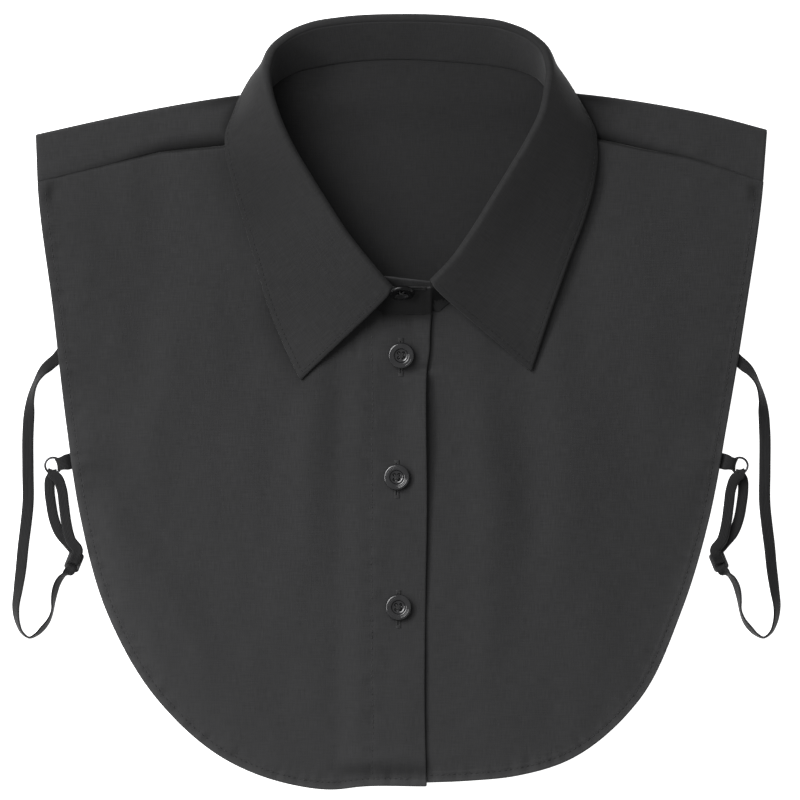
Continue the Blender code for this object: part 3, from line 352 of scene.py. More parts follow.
class Finish(Enum):
    """The finishes of the garment, each with the recipe that makes it."""

    # painted light: the cotton is painted paler toward the hem and the left
    COTTON = Cotton("woven_cotton", (0.0136, 0.0136, 0.0140), (0.0274, 0.0274, 0.0282), fade=1.98)
    COLLAR = Cotton("woven_collar_cotton", (0.0102, 0.0102, 0.0105), (0.0212, 0.0212, 0.0217))
    # a darker copy of the stand's cloth for its outer side: painted shade
    STAND = Cotton("woven_stand_cotton_painted_shade", (0.006, 0.006, 0.0062), (0.012, 0.012, 0.0123))
    # a paler copy of the collar cloth for the stand: painted light
    LINING = Cotton("woven_stand_cotton_painted_light", (0.017, 0.017, 0.0175), (0.034, 0.034, 0.035))
    # a darker copy of the cotton for the back's upper side, seen inside the neck: painted shade
    INSIDE = Cotton("woven_cotton_painted_shade", (0.0088, 0.0088, 0.0091), (0.0176, 0.0176, 0.0181))
    ELASTIC = Elastic()
    BUTTON = Gloss("polished_button", (0.006, 0.006, 0.007), (0.016, 0.016, 0.017), 0.16, coat=0.4)
    # a darker, duller copy of the button finish for the stand's button: painted shade
    WORN_BUTTON = Gloss("polished_button_painted_shade", (0.003, 0.003, 0.0034), (0.008, 0.008, 0.0086), 0.24, metallic=0.65)
    RING = Gloss("coated_wire", (0.02, 0.02, 0.022), (0.05, 0.05, 0.054), 0.28, metallic=0.7, coat=0.2)
    SLIDER = Gloss("satin_slider", (0.010, 0.010, 0.011), (0.022, 0.022, 0.023), 0.62)
    THREAD = Thread("sewing_thread", (0.012, 0.012, 0.0123), (0.028, 0.028, 0.0287))
    # a darker copy of the sewing thread, so that the collar's stitches catch no light: painted shade
    COLLAR_THREAD = Thread("sewing_thread_painted_shade", (0.004, 0.004, 0.0042), (0.011, 0.011, 0.0113))
    TABLETOP = Tabletop()

    def material(self) -> bpy.types.Material:
        """The finish's material, made once."""
        found = bpy.data.materials.get(self.value.name)
        return found or self.value.make()


# ---- curves and grids
def ease(value: Array | float, low: float, high: float) -> Array:
    """0 below low, 1 above high and a smooth S between, from the cube of the share."""
    share = np.clip((np.asarray(value, float) - low) / (high - low), 0.0, 1.0)
    return share * share * (3.0 - 2.0 * share)


def bell(away: Array | float, reach: float | Array) -> Array:
    """1 at a distance of 0, falling smoothly to a third at the reach: an exponential of its square."""
    return np.exp(-((away / reach) ** 2))


def unit(vectors: Array) -> Array:
    """Vectors scaled to length 1."""
    return vectors / np.maximum(np.linalg.norm(vectors, axis=-1), 1e-12)[..., None]


def lengths(points: Array) -> Array:
    """Distance along a polyline at each of its points."""
    return np.concatenate([[0.0], np.cumsum(np.linalg.norm(np.diff(points, axis=0), axis=1))])


def along(points: Array, shares: Array) -> Array:
    """Points at shares of a polyline's length.

    Args:
        points: the polyline's points, one a row.
        shares: places along it, 0 to 1.

    Returns:
        A point for each share.
    """
    run = lengths(points)
    wanted = np.asarray(shares) * run[-1]
    return np.stack([np.interp(wanted, run, points[:, i]) for i in range(points.shape[1])], axis=1)


def ripples(x: Array, y: Array, wavelength: float, seed: int, count: int = 14) -> Array:
    """Gentle unevenness from -1 to 1: a sum of plane waves in seeded directions and lengths.

    Args:
        x, y: the places.
        wavelength: the middle one of the waves.
        seed: of the random directions, lengths and phases.
        count: number of waves.

    Returns:
        The height at each place.
    """
    luck = np.random.default_rng(seed)
    total = np.zeros(np.broadcast(x, y).shape)
    for heading, stretch, phase in luck.random((count, 3)):
        reach = 2 * math.pi / (wavelength * (0.6 + 0.9 * stretch))
        angle = 2 * math.pi * heading
        total += np.cos(reach * (x * math.cos(angle) + y * math.sin(angle)) + 2 * math.pi * phase)
    return total / math.sqrt(count * 2.0)


def crowded(count: int, edge_cells: int, edge_share: float) -> Array:
    """Shares 0..1 whose cells are finer at both ends.

    Args:
        count: number of cells.
        edge_cells: cells in each end.
        edge_share: what each end takes of the whole.

    Returns:
        The shares, one more than the cells.
    """
    edge = np.linspace(0.0, edge_share, edge_cells + 1)
    middle = np.linspace(edge_share, 1.0 - edge_share, count - 2 * edge_cells + 1)
    return np.concatenate([edge[:-1], middle, 1.0 - edge[::-1][1:]])


def runs(grid: Array, axis: int) -> Array:
    """Distance along a grid of points from its first row (axis 0) or column (axis 1), step by step."""
    first = np.take(grid, [0], axis=axis)
    return np.cumsum(np.linalg.norm(np.diff(grid, axis=axis, prepend=first), axis=2), axis=axis)


class Curve:
    """A smooth curve through points of any dimension: cubic pieces whose slopes follow the neighbours."""

    def __init__(self, points: Sequence[Sequence[float]] | Array, stops: Array | None = None) -> None:
        """Keeps the points and their stops along the curve, by default the distance along its chords."""
        self.points = np.array(points, float)
        stops = lengths(self.points) if stops is None else stops
        self.stops = np.array(stops, float) / stops[-1]
        steps = np.diff(self.stops)[:, None]
        slopes = np.diff(self.points, axis=0) / steps
        inner = (slopes[1:] * steps[:-1] + slopes[:-1] * steps[1:]) / (steps[1:] + steps[:-1])
        self.slopes = np.vstack([slopes[:1], inner, slopes[-1:]])

    def at(self, shares: Array | Sequence[float]) -> Array:
        """Points of the curve at shares of its length, from 0 to 1."""
        shares = np.clip(np.asarray(shares, float), 0.0, 1.0)
        index = np.clip(np.searchsorted(self.stops, shares, side="right") - 1, 0, len(self.stops) - 2)
        step = (self.stops[index + 1] - self.stops[index])[..., None]
        t = ((shares - self.stops[index])[..., None]) / step
        start, end = self.points[index], self.points[index + 1]
        leave, enter = self.slopes[index] * step, self.slopes[index + 1] * step
        rise = 3 * t**2 - 2 * t**3
        return start * (1 - rise) + end * rise + leave * (t**3 - 2 * t**2 + t) + enter * (t**3 - t**2)

    def share_where(self, column: int, value: float) -> float:
        """The first share at which one of the points' numbers reaches a value."""
        shares = np.linspace(0.0, 1.0, 2001)
        over = self.at(shares)[:, column] - value
        return float(shares[np.nonzero(np.diff(np.sign(over)))[0][0]])

    def part(self, count: int, low: float = 0.0, high: float = 1.0) -> Array:
        """Evenly spaced points between two shares."""
        return self.at(np.linspace(low, high, count))


def coons(top: Array, bottom: Array, left: Array, right: Array, u: Array, v: Array) -> Array:
    """A grid between four edges: the two ways of blending opposite edges, less the corners' blend.

    Args:
        top, bottom: edges at v = 0 and v = 1, one point for each u.
        left, right: edges at u = 0 and u = 1, one point for each v.
        u, v: shares across and down.

    Returns:
        Points of shape (rows, columns, dimensions).
    """
    u, v = u[None, :, None], v[:, None, None]
    across = (1 - v) * top[None] + v * bottom[None]
    down = (1 - u) * left[:, None] + u * right[:, None]
    corners = (1 - u) * (1 - v) * top[0] + u * (1 - v) * top[-1] + (1 - u) * v * bottom[0] + u * v * bottom[-1]
    return across + down - corners


def nearest(x: Array, y: Array, line: Array) -> tuple[Array, Array]:
    """The nearest point of a dense plan polyline to each place.

    Args:
        x, y: the places.
        line: the line's points, one a row.

    Returns:
        The distance, and how far along the line its nearest point stands.
    """
    flat = np.stack([np.ravel(x), np.ravel(y)], axis=1).astype(np.float32)
    run = lengths(line)
    away = np.empty(len(flat), np.float32)
    place = np.empty(len(flat), np.float32)
    for block in np.array_split(np.arange(len(flat)), max(1, len(flat) // 8000)):
        gaps = ((flat[block, None, :] - line[None].astype(np.float32)) ** 2).sum(axis=2)
        best = gaps.argmin(axis=1)
        away[block] = np.sqrt(gaps[np.arange(len(block)), best])
        place[block] = run[best]
    return away.reshape(np.shape(x)), place.reshape(np.shape(x))


# ---- meshes
def grid_faces(rows: int, columns: int, round_rows: bool = False, round_columns: bool = False) -> Array:
    """Quads of a grid of points stored row by row.

    Args:
        rows, columns: how many of each.
        round_rows, round_columns: joins the last of them to the first.

    Returns:
        One quad a row.
    """
    index = np.arange(rows * columns).reshape(rows, columns)
    if round_rows:
        index = np.vstack([index, index[:1]])
    if round_columns:
        index = np.hstack([index, index[:, :1]])
    corners = (index[:-1, :-1], index[1:, :-1], index[1:, 1:], index[:-1, 1:])
    return np.stack([corner.ravel() for corner in corners], axis=1)


def sheet_normals(points: Array, faces: Array) -> Array:
    """Area-weighted normals of a sheet of quads, from the cross product of each quad's diagonals.

    Args:
        points: the sheet's points.
        faces: its quads.

    Returns:
        A unit normal for each point.
    """
    diagonals = np.cross(points[faces[:, 2]] - points[faces[:, 0]], points[faces[:, 3]] - points[faces[:, 1]])
    normals = np.zeros_like(points)
    for corner in range(4):
        np.add.at(normals, faces[:, corner], diagonals)
    return unit(normals)


def shell(points: Array, faces: Array, wall: float | Array, uv: Array) -> tuple[Array, Array, Array]:
    """A closed thin shell: the sheet moved half a wall to both sides along its normals, with a rounded rim.

    Args:
        points: the middle sheet's points.
        faces: its quads, wound so that its normals are the outer side.
        wall: thickness, one number or one for each point.
        uv: the cloth's own coordinates, one pair a point.

    Returns:
        Points, quads and coordinates of the shell.
    """
    normals = sheet_normals(points, faces)
    half = np.broadcast_to(np.asarray(wall, float) / 2, (len(points),))[:, None]
    count = len(points)
    edges = np.concatenate([faces[:, [i, (i + 1) % 4]] for i in range(4)])
    _, first, uses = np.unique(np.sort(edges, axis=1), axis=0, return_index=True, return_counts=True)
    rim = edges[first[uses == 1]]
    outward = np.zeros_like(points)
    sideways = np.cross(points[rim[:, 1]] - points[rim[:, 0]], normals[rim[:, 0]])
    np.add.at(outward, rim[:, 0], sideways)
    np.add.at(outward, rim[:, 1], sideways)
    ring, place = np.unique(rim, return_inverse=True)
    place = place.reshape(rim.shape) + 2 * count
    middle = points[ring] + unit(outward[ring]) * half[ring] * 0.9
    a, b, ra, rb = rim[:, 0], rim[:, 1], place[:, 0], place[:, 1]
    upper = np.stack([b, a, ra, rb], axis=1)
    lower = np.stack([rb, ra, a + count, b + count], axis=1)
    all_points = np.vstack([points + normals * half, points - normals * half, middle])
    all_faces = np.vstack([faces, faces[:, ::-1] + count, upper, lower])
    return all_points, all_faces, np.vstack([uv, uv, uv[ring]])


def add_mesh(
    name: str,
    points: Array,
    faces: Array | Faces,
    finish: Finish,
    slot: str,
    uv: Array | None = None,
    node: str | None = None,
) -> bpy.types.Object:
    """A smooth mesh object that rides on the garment's body, with its place in its mesh.

    Args:
        name: the piece's name.
        points: its points in millimetres, in the tables' frame.
        faces: its faces.
        finish: its finish.
        slot: not used.
        uv: the cloth's own coordinates in millimetres, where it has a weave.
        node: the frame's node that it replaces, where it stands for one.

    Returns:
        The piece.
    """
    mesh = bpy.data.meshes.new(name)
    mesh.from_pydata(((points + SHIFT) * MM).tolist(), [], faces if isinstance(faces, list) else faces.tolist())
    if uv is not None:
        corner = np.empty(len(mesh.loops), np.int32)
        mesh.loops.foreach_get("vertex_index", corner)
        layer = mesh.uv_layers.new(name=CLOTH_MAP)
        layer.data.foreach_set("uv", (uv[corner] * MM).astype(np.float32).ravel())
    mesh.materials.append(finish.material())
    mesh.shade_smooth()
    made = bpy.data.objects.new(name, mesh)
    bpy.context.scene.collection.objects.link(made)
    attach(made, "root")
    if node is not None:
        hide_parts(node)
    LOG.info("%s: %d points, %d faces", name, len(points), len(faces))
    return made


def add_sheet(
    points: Array, wall: float | Array, finish: Finish, uv: Array, node: str, slot: str
) -> bpy.types.Object:
    """A cloth shell that stands for a node of the frame; its outer side faces up.

    Args:
        points: the middle sheet's points, as a grid.
        wall: thickness, one number or one for each point.
        finish: its finish.
        uv: the cloth's own coordinates in millimetres, one pair a point.
        node: the frame's node that it replaces.
        slot: handed on to add_mesh, which does not use it.

    Returns:
        The piece, which has the node's name with cloth added.
    """
    faces = grid_faces(*points.shape[:2])
    points = points.reshape(-1, 3)
    if sheet_normals(points, faces)[:, 2].sum() < 0:
        faces = faces[:, ::-1]
    points, faces, uv = shell(points, faces, wall, uv)
    return add_mesh(f"{node}_cloth", points, faces, finish, slot, uv, node)


def tube(paths: Array, side: Array, lift: Array, radius: Array) -> tuple[Array, Faces]:
    """Many short round tubes at once: rings of points round each path.

    Args:
        paths: points of shape (tubes, stations, 3).
        side, lift: the ring's two axes at each station.
        radius: the ring's radius at each station.

    Returns:
        Points and faces, with the ends closed.
    """
    angle = np.linspace(0.0, 2 * math.pi, THREAD_SIDES, endpoint=False)
    ring = side[..., None, :] * np.cos(angle)[:, None] + lift[..., None, :] * np.sin(angle)[:, None]
    points = paths[..., None, :] + ring * radius[..., None, None]
    tubes, stations = paths.shape[:2]
    one = grid_faces(stations, THREAD_SIDES, round_columns=True)
    starts = (np.arange(tubes) * stations * THREAD_SIDES)[:, None, None]
    body = (one[None] + starts).reshape(-1, 4)
    cap = np.arange(THREAD_SIDES)[None] + starts[:, 0]
    far = cap + (stations - 1) * THREAD_SIDES
    faces = body.tolist() + cap.tolist() + far[:, ::-1].tolist()
    points = points.reshape(-1, 3)
    quad = points[body[0]]
    spin = np.cross(quad[2] - quad[0], quad[3] - quad[1])
    if np.dot(spin, quad.mean(axis=0) - paths.reshape(-1, 3)[0]) < 0:
        faces = [face[::-1] for face in faces]
    return points, faces


def stitch_row(line: Array, normals: Array, pitch: float, radius: float, fill: float = 0.74) -> tuple[Array, Faces]:
    """A row of stitches on a surface: each a short tube that dips into the cloth at both ends.

    The thread's middle stands three quarters of its radius proud. It sinks with the fifth power of the
    place along the stitch and thins with the sixth.

    Args:
        line: dense points on the surface.
        normals: the surface's normals there.
        pitch: from one stitch to the next.
        radius: the thread's radius.
        fill: the visible share of the pitch.

    Returns:
        Points and faces.
    """
    run = lengths(line)
    count = max(1, int(run[-1] / pitch))
    t = np.linspace(-1.0, 1.0, 7)
    wanted = (np.arange(count)[:, None] + 0.5 + t * fill / 2) * run[-1] / count
    spots, up = (
        np.stack([np.interp(wanted, run, values[:, i]) for i in range(3)], axis=-1) for values in (line, normals)
    )
    up = unit(up)
    side = unit(np.cross(unit(np.gradient(spots, axis=1)), up))
    height = radius * (0.75 - 2.6 * np.abs(t) ** 5)
    width = radius * np.sqrt(np.maximum(1.0 - 0.9 * np.abs(t) ** 6, 0.05))
    return tube(spots + up * height[None, :, None], side, up, np.broadcast_to(width, spots.shape[:2]))


def joined(parts: Sequence[tuple[Array, Faces]]) -> tuple[Array, Faces]:
    """Several meshes as one.

    Args:
        parts: points and faces of each.

    Returns:
        Points and faces of all.
    """
    firsts = np.cumsum([0] + [len(points) for points, _ in parts])
    faces = [[corner + int(first) for corner in face] for first, (_, some) in zip(firsts, parts) for face in some]
    return np.vstack([points for points, _ in parts]), faces


# ---- the garment's plan
SHOULDERS = {
    "left": ((-158.2, 117.7), (-132.9, 123.4), (-107.4, 128.7), (-76.1, 134), (-57.4, 136.4)),
    "right": ((163, 119.9), (139.5, 126.1), (112.6, 131.3), (94.6, 134), (68.2, 136.8)),
}
FORWARD_SEAMS = {
    "left": ((-157.5, 97), (-130.2, 103.6), (-103.8, 110.2), (-75.2, 112.9), (-57.8, 114.5)),
    "right": ((161.4, 97), (146.5, 102.3), (127.6, 108), (108.7, 111.5), (89.8, 115.6), (68.6, 118.4)),
}
OUTLINES = {
    "left": (
        (-158.2, 117.7), (-157.1, 93.5), (-150.5, 40.7), (-144.3, -12.1), (-138.2, -51.7), (-127.2, -91.3),
        (-104.3, -130.9), (-73.9, -157.3), (-46.5, -167.6), (-26.5, -169.9), (-16.3, -168.7), (13.2, -168.5),
    ),
    "right": (
        (163, 119.9), (161, 93.5), (153.6, 40.7), (144.8, -12.1), (137.3, -51.7), (125.4, -91.3),
        (106.5, -130.9), (75.2, -157.3), (52.4, -164), (33, -166), (14, -166.8), (-13, -166.8),
    ),
}
FRONT_EDGES = {
    "left": (
        (15.5, 38.9), (14.9, 31.5), (14.5, 21.5), (13.7, 16.5), (13.3, 12), (13.1, 4), (13.1, -5.9), (13.5, -43),
        (12.8, -90), (12.5, -130), (13.2, -168.5),
    ),
    "right": ((-3, 41), (-9, 34), (-13, 20), (-13, -80), (-13, -166.8)),
}
COLLAR_FIELDS = (
    "neck_x", "neck_y", "fold_x", "fold_y", "fold_z", "edge_x", "edge_y", "edge_z", "swell", "swell_z",
)
RESTS = math.nan  # an outer edge that lies on a front
COLLAR_SECTIONS = {
    # neck edge, fold with its height, outer edge with its height, swell past the fold and its height
    "left_tip": (-5, 38.9, -1.2, 50.6, 20.8, -41.8, 10.3, RESTS, 34, 7),
    "left_1": (-18, 47.3, -10.6, 61.8, 22.6, -49.1, 25.5, RESTS, 30, 8),
    "left_2": (-28.8, 60, -20.2, 73.7, 23.4, -55.8, 42.2, RESTS, 27, 9),
    "left_3": (-38.6, 74.5, -29.5, 87.8, 24.2, -61.1, 60.5, RESTS, 25, 10.5),
    "left_4": (-47.2, 88.5, -37.8, 101, 25.2, -66.4, 78.7, RESTS, 23, 12),
    "left_5": (-54, 102, -46.2, 115.5, 26.2, -71.6, 97, RESTS, 21, 14),
    "left_6": (-57.8, 114.5, -51.9, 128.7, 27, -74.9, 113.5, RESTS, 19, 15),
    "left_7": (-58.2, 131, -55.4, 141.5, 27.4, -71.8, 126, RESTS, 16, 15),
    "left_8": (-57.4, 136.4, -55.8, 146, 27.3, -67, 136.3, 9.4, 7, 14),
    "left_9": (-54.4, 138.9, -55.4, 149.8, 27, -62, 141, 4, 3, 6),
    "left_10": (-50.6, 142, -53.7, 155.1, 26.4, -57.2, 142.5, 1, 1.5, 0),
    "left_11": (-43.8, 145.3, -48.4, 160.4, 25.4, -48, 139.5, 0.75, 1.5, -3),
    "left_12": (-33.5, 147.7, -37.4, 165.7, 24.4, -36.5, 140.5, 0.75, 1.5, -4.5),
    "left_13": (-22, 149.6, -24.6, 168, 23.6, -23.5, 142, 0.75, 1.5, -5),
    "back": (1.8, 151, 2.5, 169.4, 23.2, 2.2, 143.5, 0.75, 1.5, -5),
    "right_13": (27, 149.7, 30, 168.3, 23.6, 28.5, 142.5, 0.75, 1.5, -5),
    "right_12": (44.5, 147.9, 48, 165.8, 24.4, 46.5, 141, 0.75, 1.5, -4.5),
    "right_11": (54.8, 145.8, 59.4, 160.6, 25.4, 58.8, 140, 0.75, 1.5, -3),
    "right_10": (61.8, 142.8, 64.8, 155.1, 26.4, 68.2, 142.5, 1, 1.5, 0),
    "right_9": (65.6, 139.2, 66.4, 149.8, 27, 73.2, 141, 4, 3, 6),
    "right_8": (68.2, 136.8, 66.7, 145.6, 27.3, 78, 136.3, 9.4, 7, 14),
    "right_7": (69, 131.5, 66, 141, 27.4, 84.6, 125.6, RESTS, 17, 15),
    "right_6": (68.6, 118.4, 63.6, 129, 27, 88.2, 113, RESTS, 21, 15),
    "right_5": (64.8, 104, 57.6, 116.6, 26.2, 87, 97, RESTS, 23, 14),
    "right_4": (58.2, 91, 50, 103.8, 25.2, 82.6, 80.5, RESTS, 25, 12),
    "right_3": (50.2, 77.5, 41.8, 90.4, 24.2, 76.6, 64.5, RESTS, 27, 10.5),
    "right_2": (41.2, 64, 32.6, 75.6, 22.8, 71.4, 50, RESTS, 29, 9),
    "right_1": (31.4, 50.8, 24, 63.6, 20.6, 66, 34.5, RESTS, 31, 7.5),
    "right_tip": (19, 40, 15.2, 54.2, 18.6, 59.4, 13.9, RESTS, 34, 6.5),
}
CORNER_Y = -104.0  # where the side edges are taken to turn into the hem
SEAM_GAP = 0.2
MIDDLE_X = 5.0  # of the neck opening


def section(*fields: str) -> Array:
    """Columns of the collar's table, stacked."""
    return np.array(list(COLLAR_SECTIONS.values()))[:, [COLLAR_FIELDS.index(name) for name in fields]]


SECTION_STOPS = lengths(section("fold_x", "fold_y"))
NECK_CURVE = Curve(section("neck_x", "neck_y"), SECTION_STOPS)


def share_of(name: str) -> float:
    """Where along the collar a named section stands."""
    return float(NECK_CURVE.stops[list(COLLAR_SECTIONS).index(name)])


def line_y(sides: dict[str, Rows], x: Array) -> Array:
    """The y of a line made of a left and a right part at any x; level between them and past them."""
    points = np.array(sorted(sides["left"] + sides["right"]))
    return np.interp(x, points[:, 0], points[:, 1])


@dataclass(frozen=True)
class Drape:
    """How high each layer of the flat garment lies over the surface, at the places x and y of its plan."""

    back_mid: float = 0.5
    front_mid: float = 1.85
    back_neck_rise: float = 2.2
    back_rise_y: Pair = (117.0, 136.0)
    back_rise_left: Pair = (-76.0, -60.0)
    back_rise_right: Pair = (71.0, 87.0)
    neck_lift: float = 3.2
    neck_reach: float = 24.0
    shoulder_lift: float = 2.4
    shoulder_tip_lift: float = 1.0
    shoulder_ramp: Pair = (60.0, 155.0)  # from the neck to the tip
    shoulder_reach: float = 46.0
    fold_inset: float = 2.0
    overlap_rise: float = 1.45
    overlap_ramp: Pair = (-27.0, -15.0)
    mirror_x: float = 0.2
    edge_lifts: Rows = (
        # x, y, height, reach
        (-137.2, -24.3, 2.4, 13),
        (-144.5, 18, 0.7, 12),
    )
    ridges: Rows = (
        # x, y, heading in degrees, half length, half width, height
        (40, -30, 92, 66, 9.5, 2.1),
        (76, -20, 96, 58, 12, 1.5),
        (-37, -22, 87, 58, 9, 1.9),
        (-92, 26, 76, 55, 14, 1.1),
        (112, 24, 103, 58, 14, 1),
        (-103, -84, 126, 48, 9.5, 1.9),
        (137, -24.5, 4, 6, 1.8, 0.5),
        (131.5, -32.5, 150, 8, 1.8, 0.45),
        (-136, -26.5, 172, 6, 1.8, 0.4),
        (84, -102, 126, 46, 13, 0.9),
        (-118, -34, 68, 38, 10, 0.8),
        (59, -43, 92, 60, 8, -0.75),
        (-17.5, 24.5, 96, 6, 1.8, -0.7),
        (9.5, 14.4, 4, 7.5, 1.9, -1.1),
    )
    seam_depths: Pair = (3.3, 2.3)  # left and right
    seam_depth_far: float = 0.35
    seam_inner: Pair = (58.0, 76.0)  # where the valley comes out from under the collar
    seam_near: Pair = (84.0, 34.0)  # how far it stays deep, and how fast it fades
    seam_reaches: Pair = (1.9, 5.5)
    seam_shares: Pair = (0.55, 0.45)
    seam_step: float = 0.6
    seam_proud: Pair = (0.16, 8.0)  # height and reach
    placket_lift: float = 2.5
    placket_top: float = 14.0
    placket_ramp: float = 3.5
    placket_middle: Pair = (15.0, -12.0)
    placket_reach: Pair = (8.0, 34.0)
    left_part: float = 16.2  # the neck edge lies on the left front up to this x
    neck_ramp: float = 2.5

    def lifts(self) -> list[tuple[float, ...]]:
        """The places where straps and tabs pass under the edge, on both sides."""
        return [
            (at_x, y, lift, reach)
            for x, y, lift, reach in self.edge_lifts
            for at_x in (x, 2 * self.mirror_x - x)
        ]

    def seam_valley(self, x: Array, y: Array) -> Array:
        """Relief along the forward seams, deepest beside the collar.

        Behind the seam the cloth falls to it as two exponentials. Before it the front rises within a step
        and stands a little proud.
        """
        past = y - line_y(FORWARD_SEAMS, x)
        behind = sum(
            share * np.exp(-np.maximum(past, 0.0) / reach) for share, reach in zip(self.seam_shares, self.seam_reaches)
        )
        front = np.minimum(past, 0.0)
        proud, proud_reach = self.seam_proud
        before = bell(front, self.seam_step) - proud * bell(front, proud_reach) * (past < 0)
        away = np.abs(x - MIDDLE_X)
        stays, fade = self.seam_near
        near = bell(np.maximum(away - stays, 0.0), fade)
        depth = self.seam_depth_far + np.where(x < MIDDLE_X, *self.seam_depths) * near
        return -depth * ease(away, *self.seam_inner) * behind * before

    def back(self, x: Array, y: Array) -> Array:
        """Middle of the back: flat, and raised behind the neck where the collar passes under it."""
        across = ease(x, *self.back_rise_left) * (1.0 - ease(x, *self.back_rise_right))
        return self.back_mid + self.back_neck_rise * across * ease(y, *self.back_rise_y)

    def ridge(self, x: Array, y: Array) -> Array:
        """Soft ridges and troughs: bells that are long along their heading and narrow across it."""
        total = np.zeros(np.broadcast(x, y).shape)
        for at_x, at_y, turn, half_length, half_width, height in self.ridges:
            c, s = math.cos(math.radians(turn)), math.sin(math.radians(turn))
            onward, across = (x - at_x) * c + (y - at_y) * s, (y - at_y) * c - (x - at_x) * s
            total = total + height * bell(onward, half_length) * bell(across, half_width)
        return total

    def upper(self, x: Array | float, y: Array | float) -> Array:
        """Middle of the layer that lies on the back: lifted at the neckline, the shoulders and the ridges."""
        x, y = np.broadcast_arrays(np.asarray(x, float), np.asarray(y, float))
        left = NECK_CURVE.part(60, share_of("left_8"), 0.0)
        right = NECK_CURVE.part(60, 1.0, share_of("right_8"))
        neck = self.neck_lift * bell(nearest(x, y, np.vstack([left, right]))[0], self.neck_reach)
        inward = 1.0 - ease(np.abs(x - MIDDLE_X), *self.shoulder_ramp)
        full = self.shoulder_tip_lift + (self.shoulder_lift - self.shoulder_tip_lift) * inward
        shoulder = full * bell(np.maximum(line_y(SHOULDERS, x) - y, 0.0), self.shoulder_reach)
        lifted = sum(lift * bell(np.hypot(x - at_x, y - at_y), reach) for at_x, at_y, lift, reach in self.lifts())
        return self.front_mid + neck + shoulder + lifted + self.ridge(x, y)

    def left_front(self, x: Array | float, y: Array | float) -> Array:
        """Middle of the left front: over the right one at the centre, its edge lifted below the top button."""
        (at_x, at_y), (reach_x, reach_y) = self.placket_middle, self.placket_reach
        below = ease(self.placket_top - y, 0.0, self.placket_ramp)
        edge = self.placket_lift * below * bell(y - at_y, reach_y) * bell(x - at_x, reach_x)
        return self.upper(x, y) + self.overlap_rise * ease(x, *self.overlap_ramp) + edge

    def neck(self, x: Array, y: Array) -> Array:
        """Middle of the neck edge: on the fronts, round the shoulder fold and on the back."""
        fold_y = line_y(SHOULDERS, x)
        low, high = self.back(x, fold_y - self.fold_inset), self.upper(x, fold_y - self.fold_inset)
        radius = (high - low) / 2
        past = np.clip(y - (fold_y - radius), 0.0, radius)
        round_fold = (low + high) / 2 + np.sqrt(np.maximum(radius**2 - past**2, 0.0))
        on_front = np.where(x < self.left_part, self.left_front(x, y), self.upper(x, y))
        behind = low + (round_fold - low) * (1.0 - ease(y - fold_y, 0.0, self.neck_ramp))
        front_or_fold = np.where(y < fold_y - radius, on_front, round_fold)
        return np.where(y > fold_y, np.maximum(behind, self.back(x, y)), front_or_fold)


DRAPE = Drape()


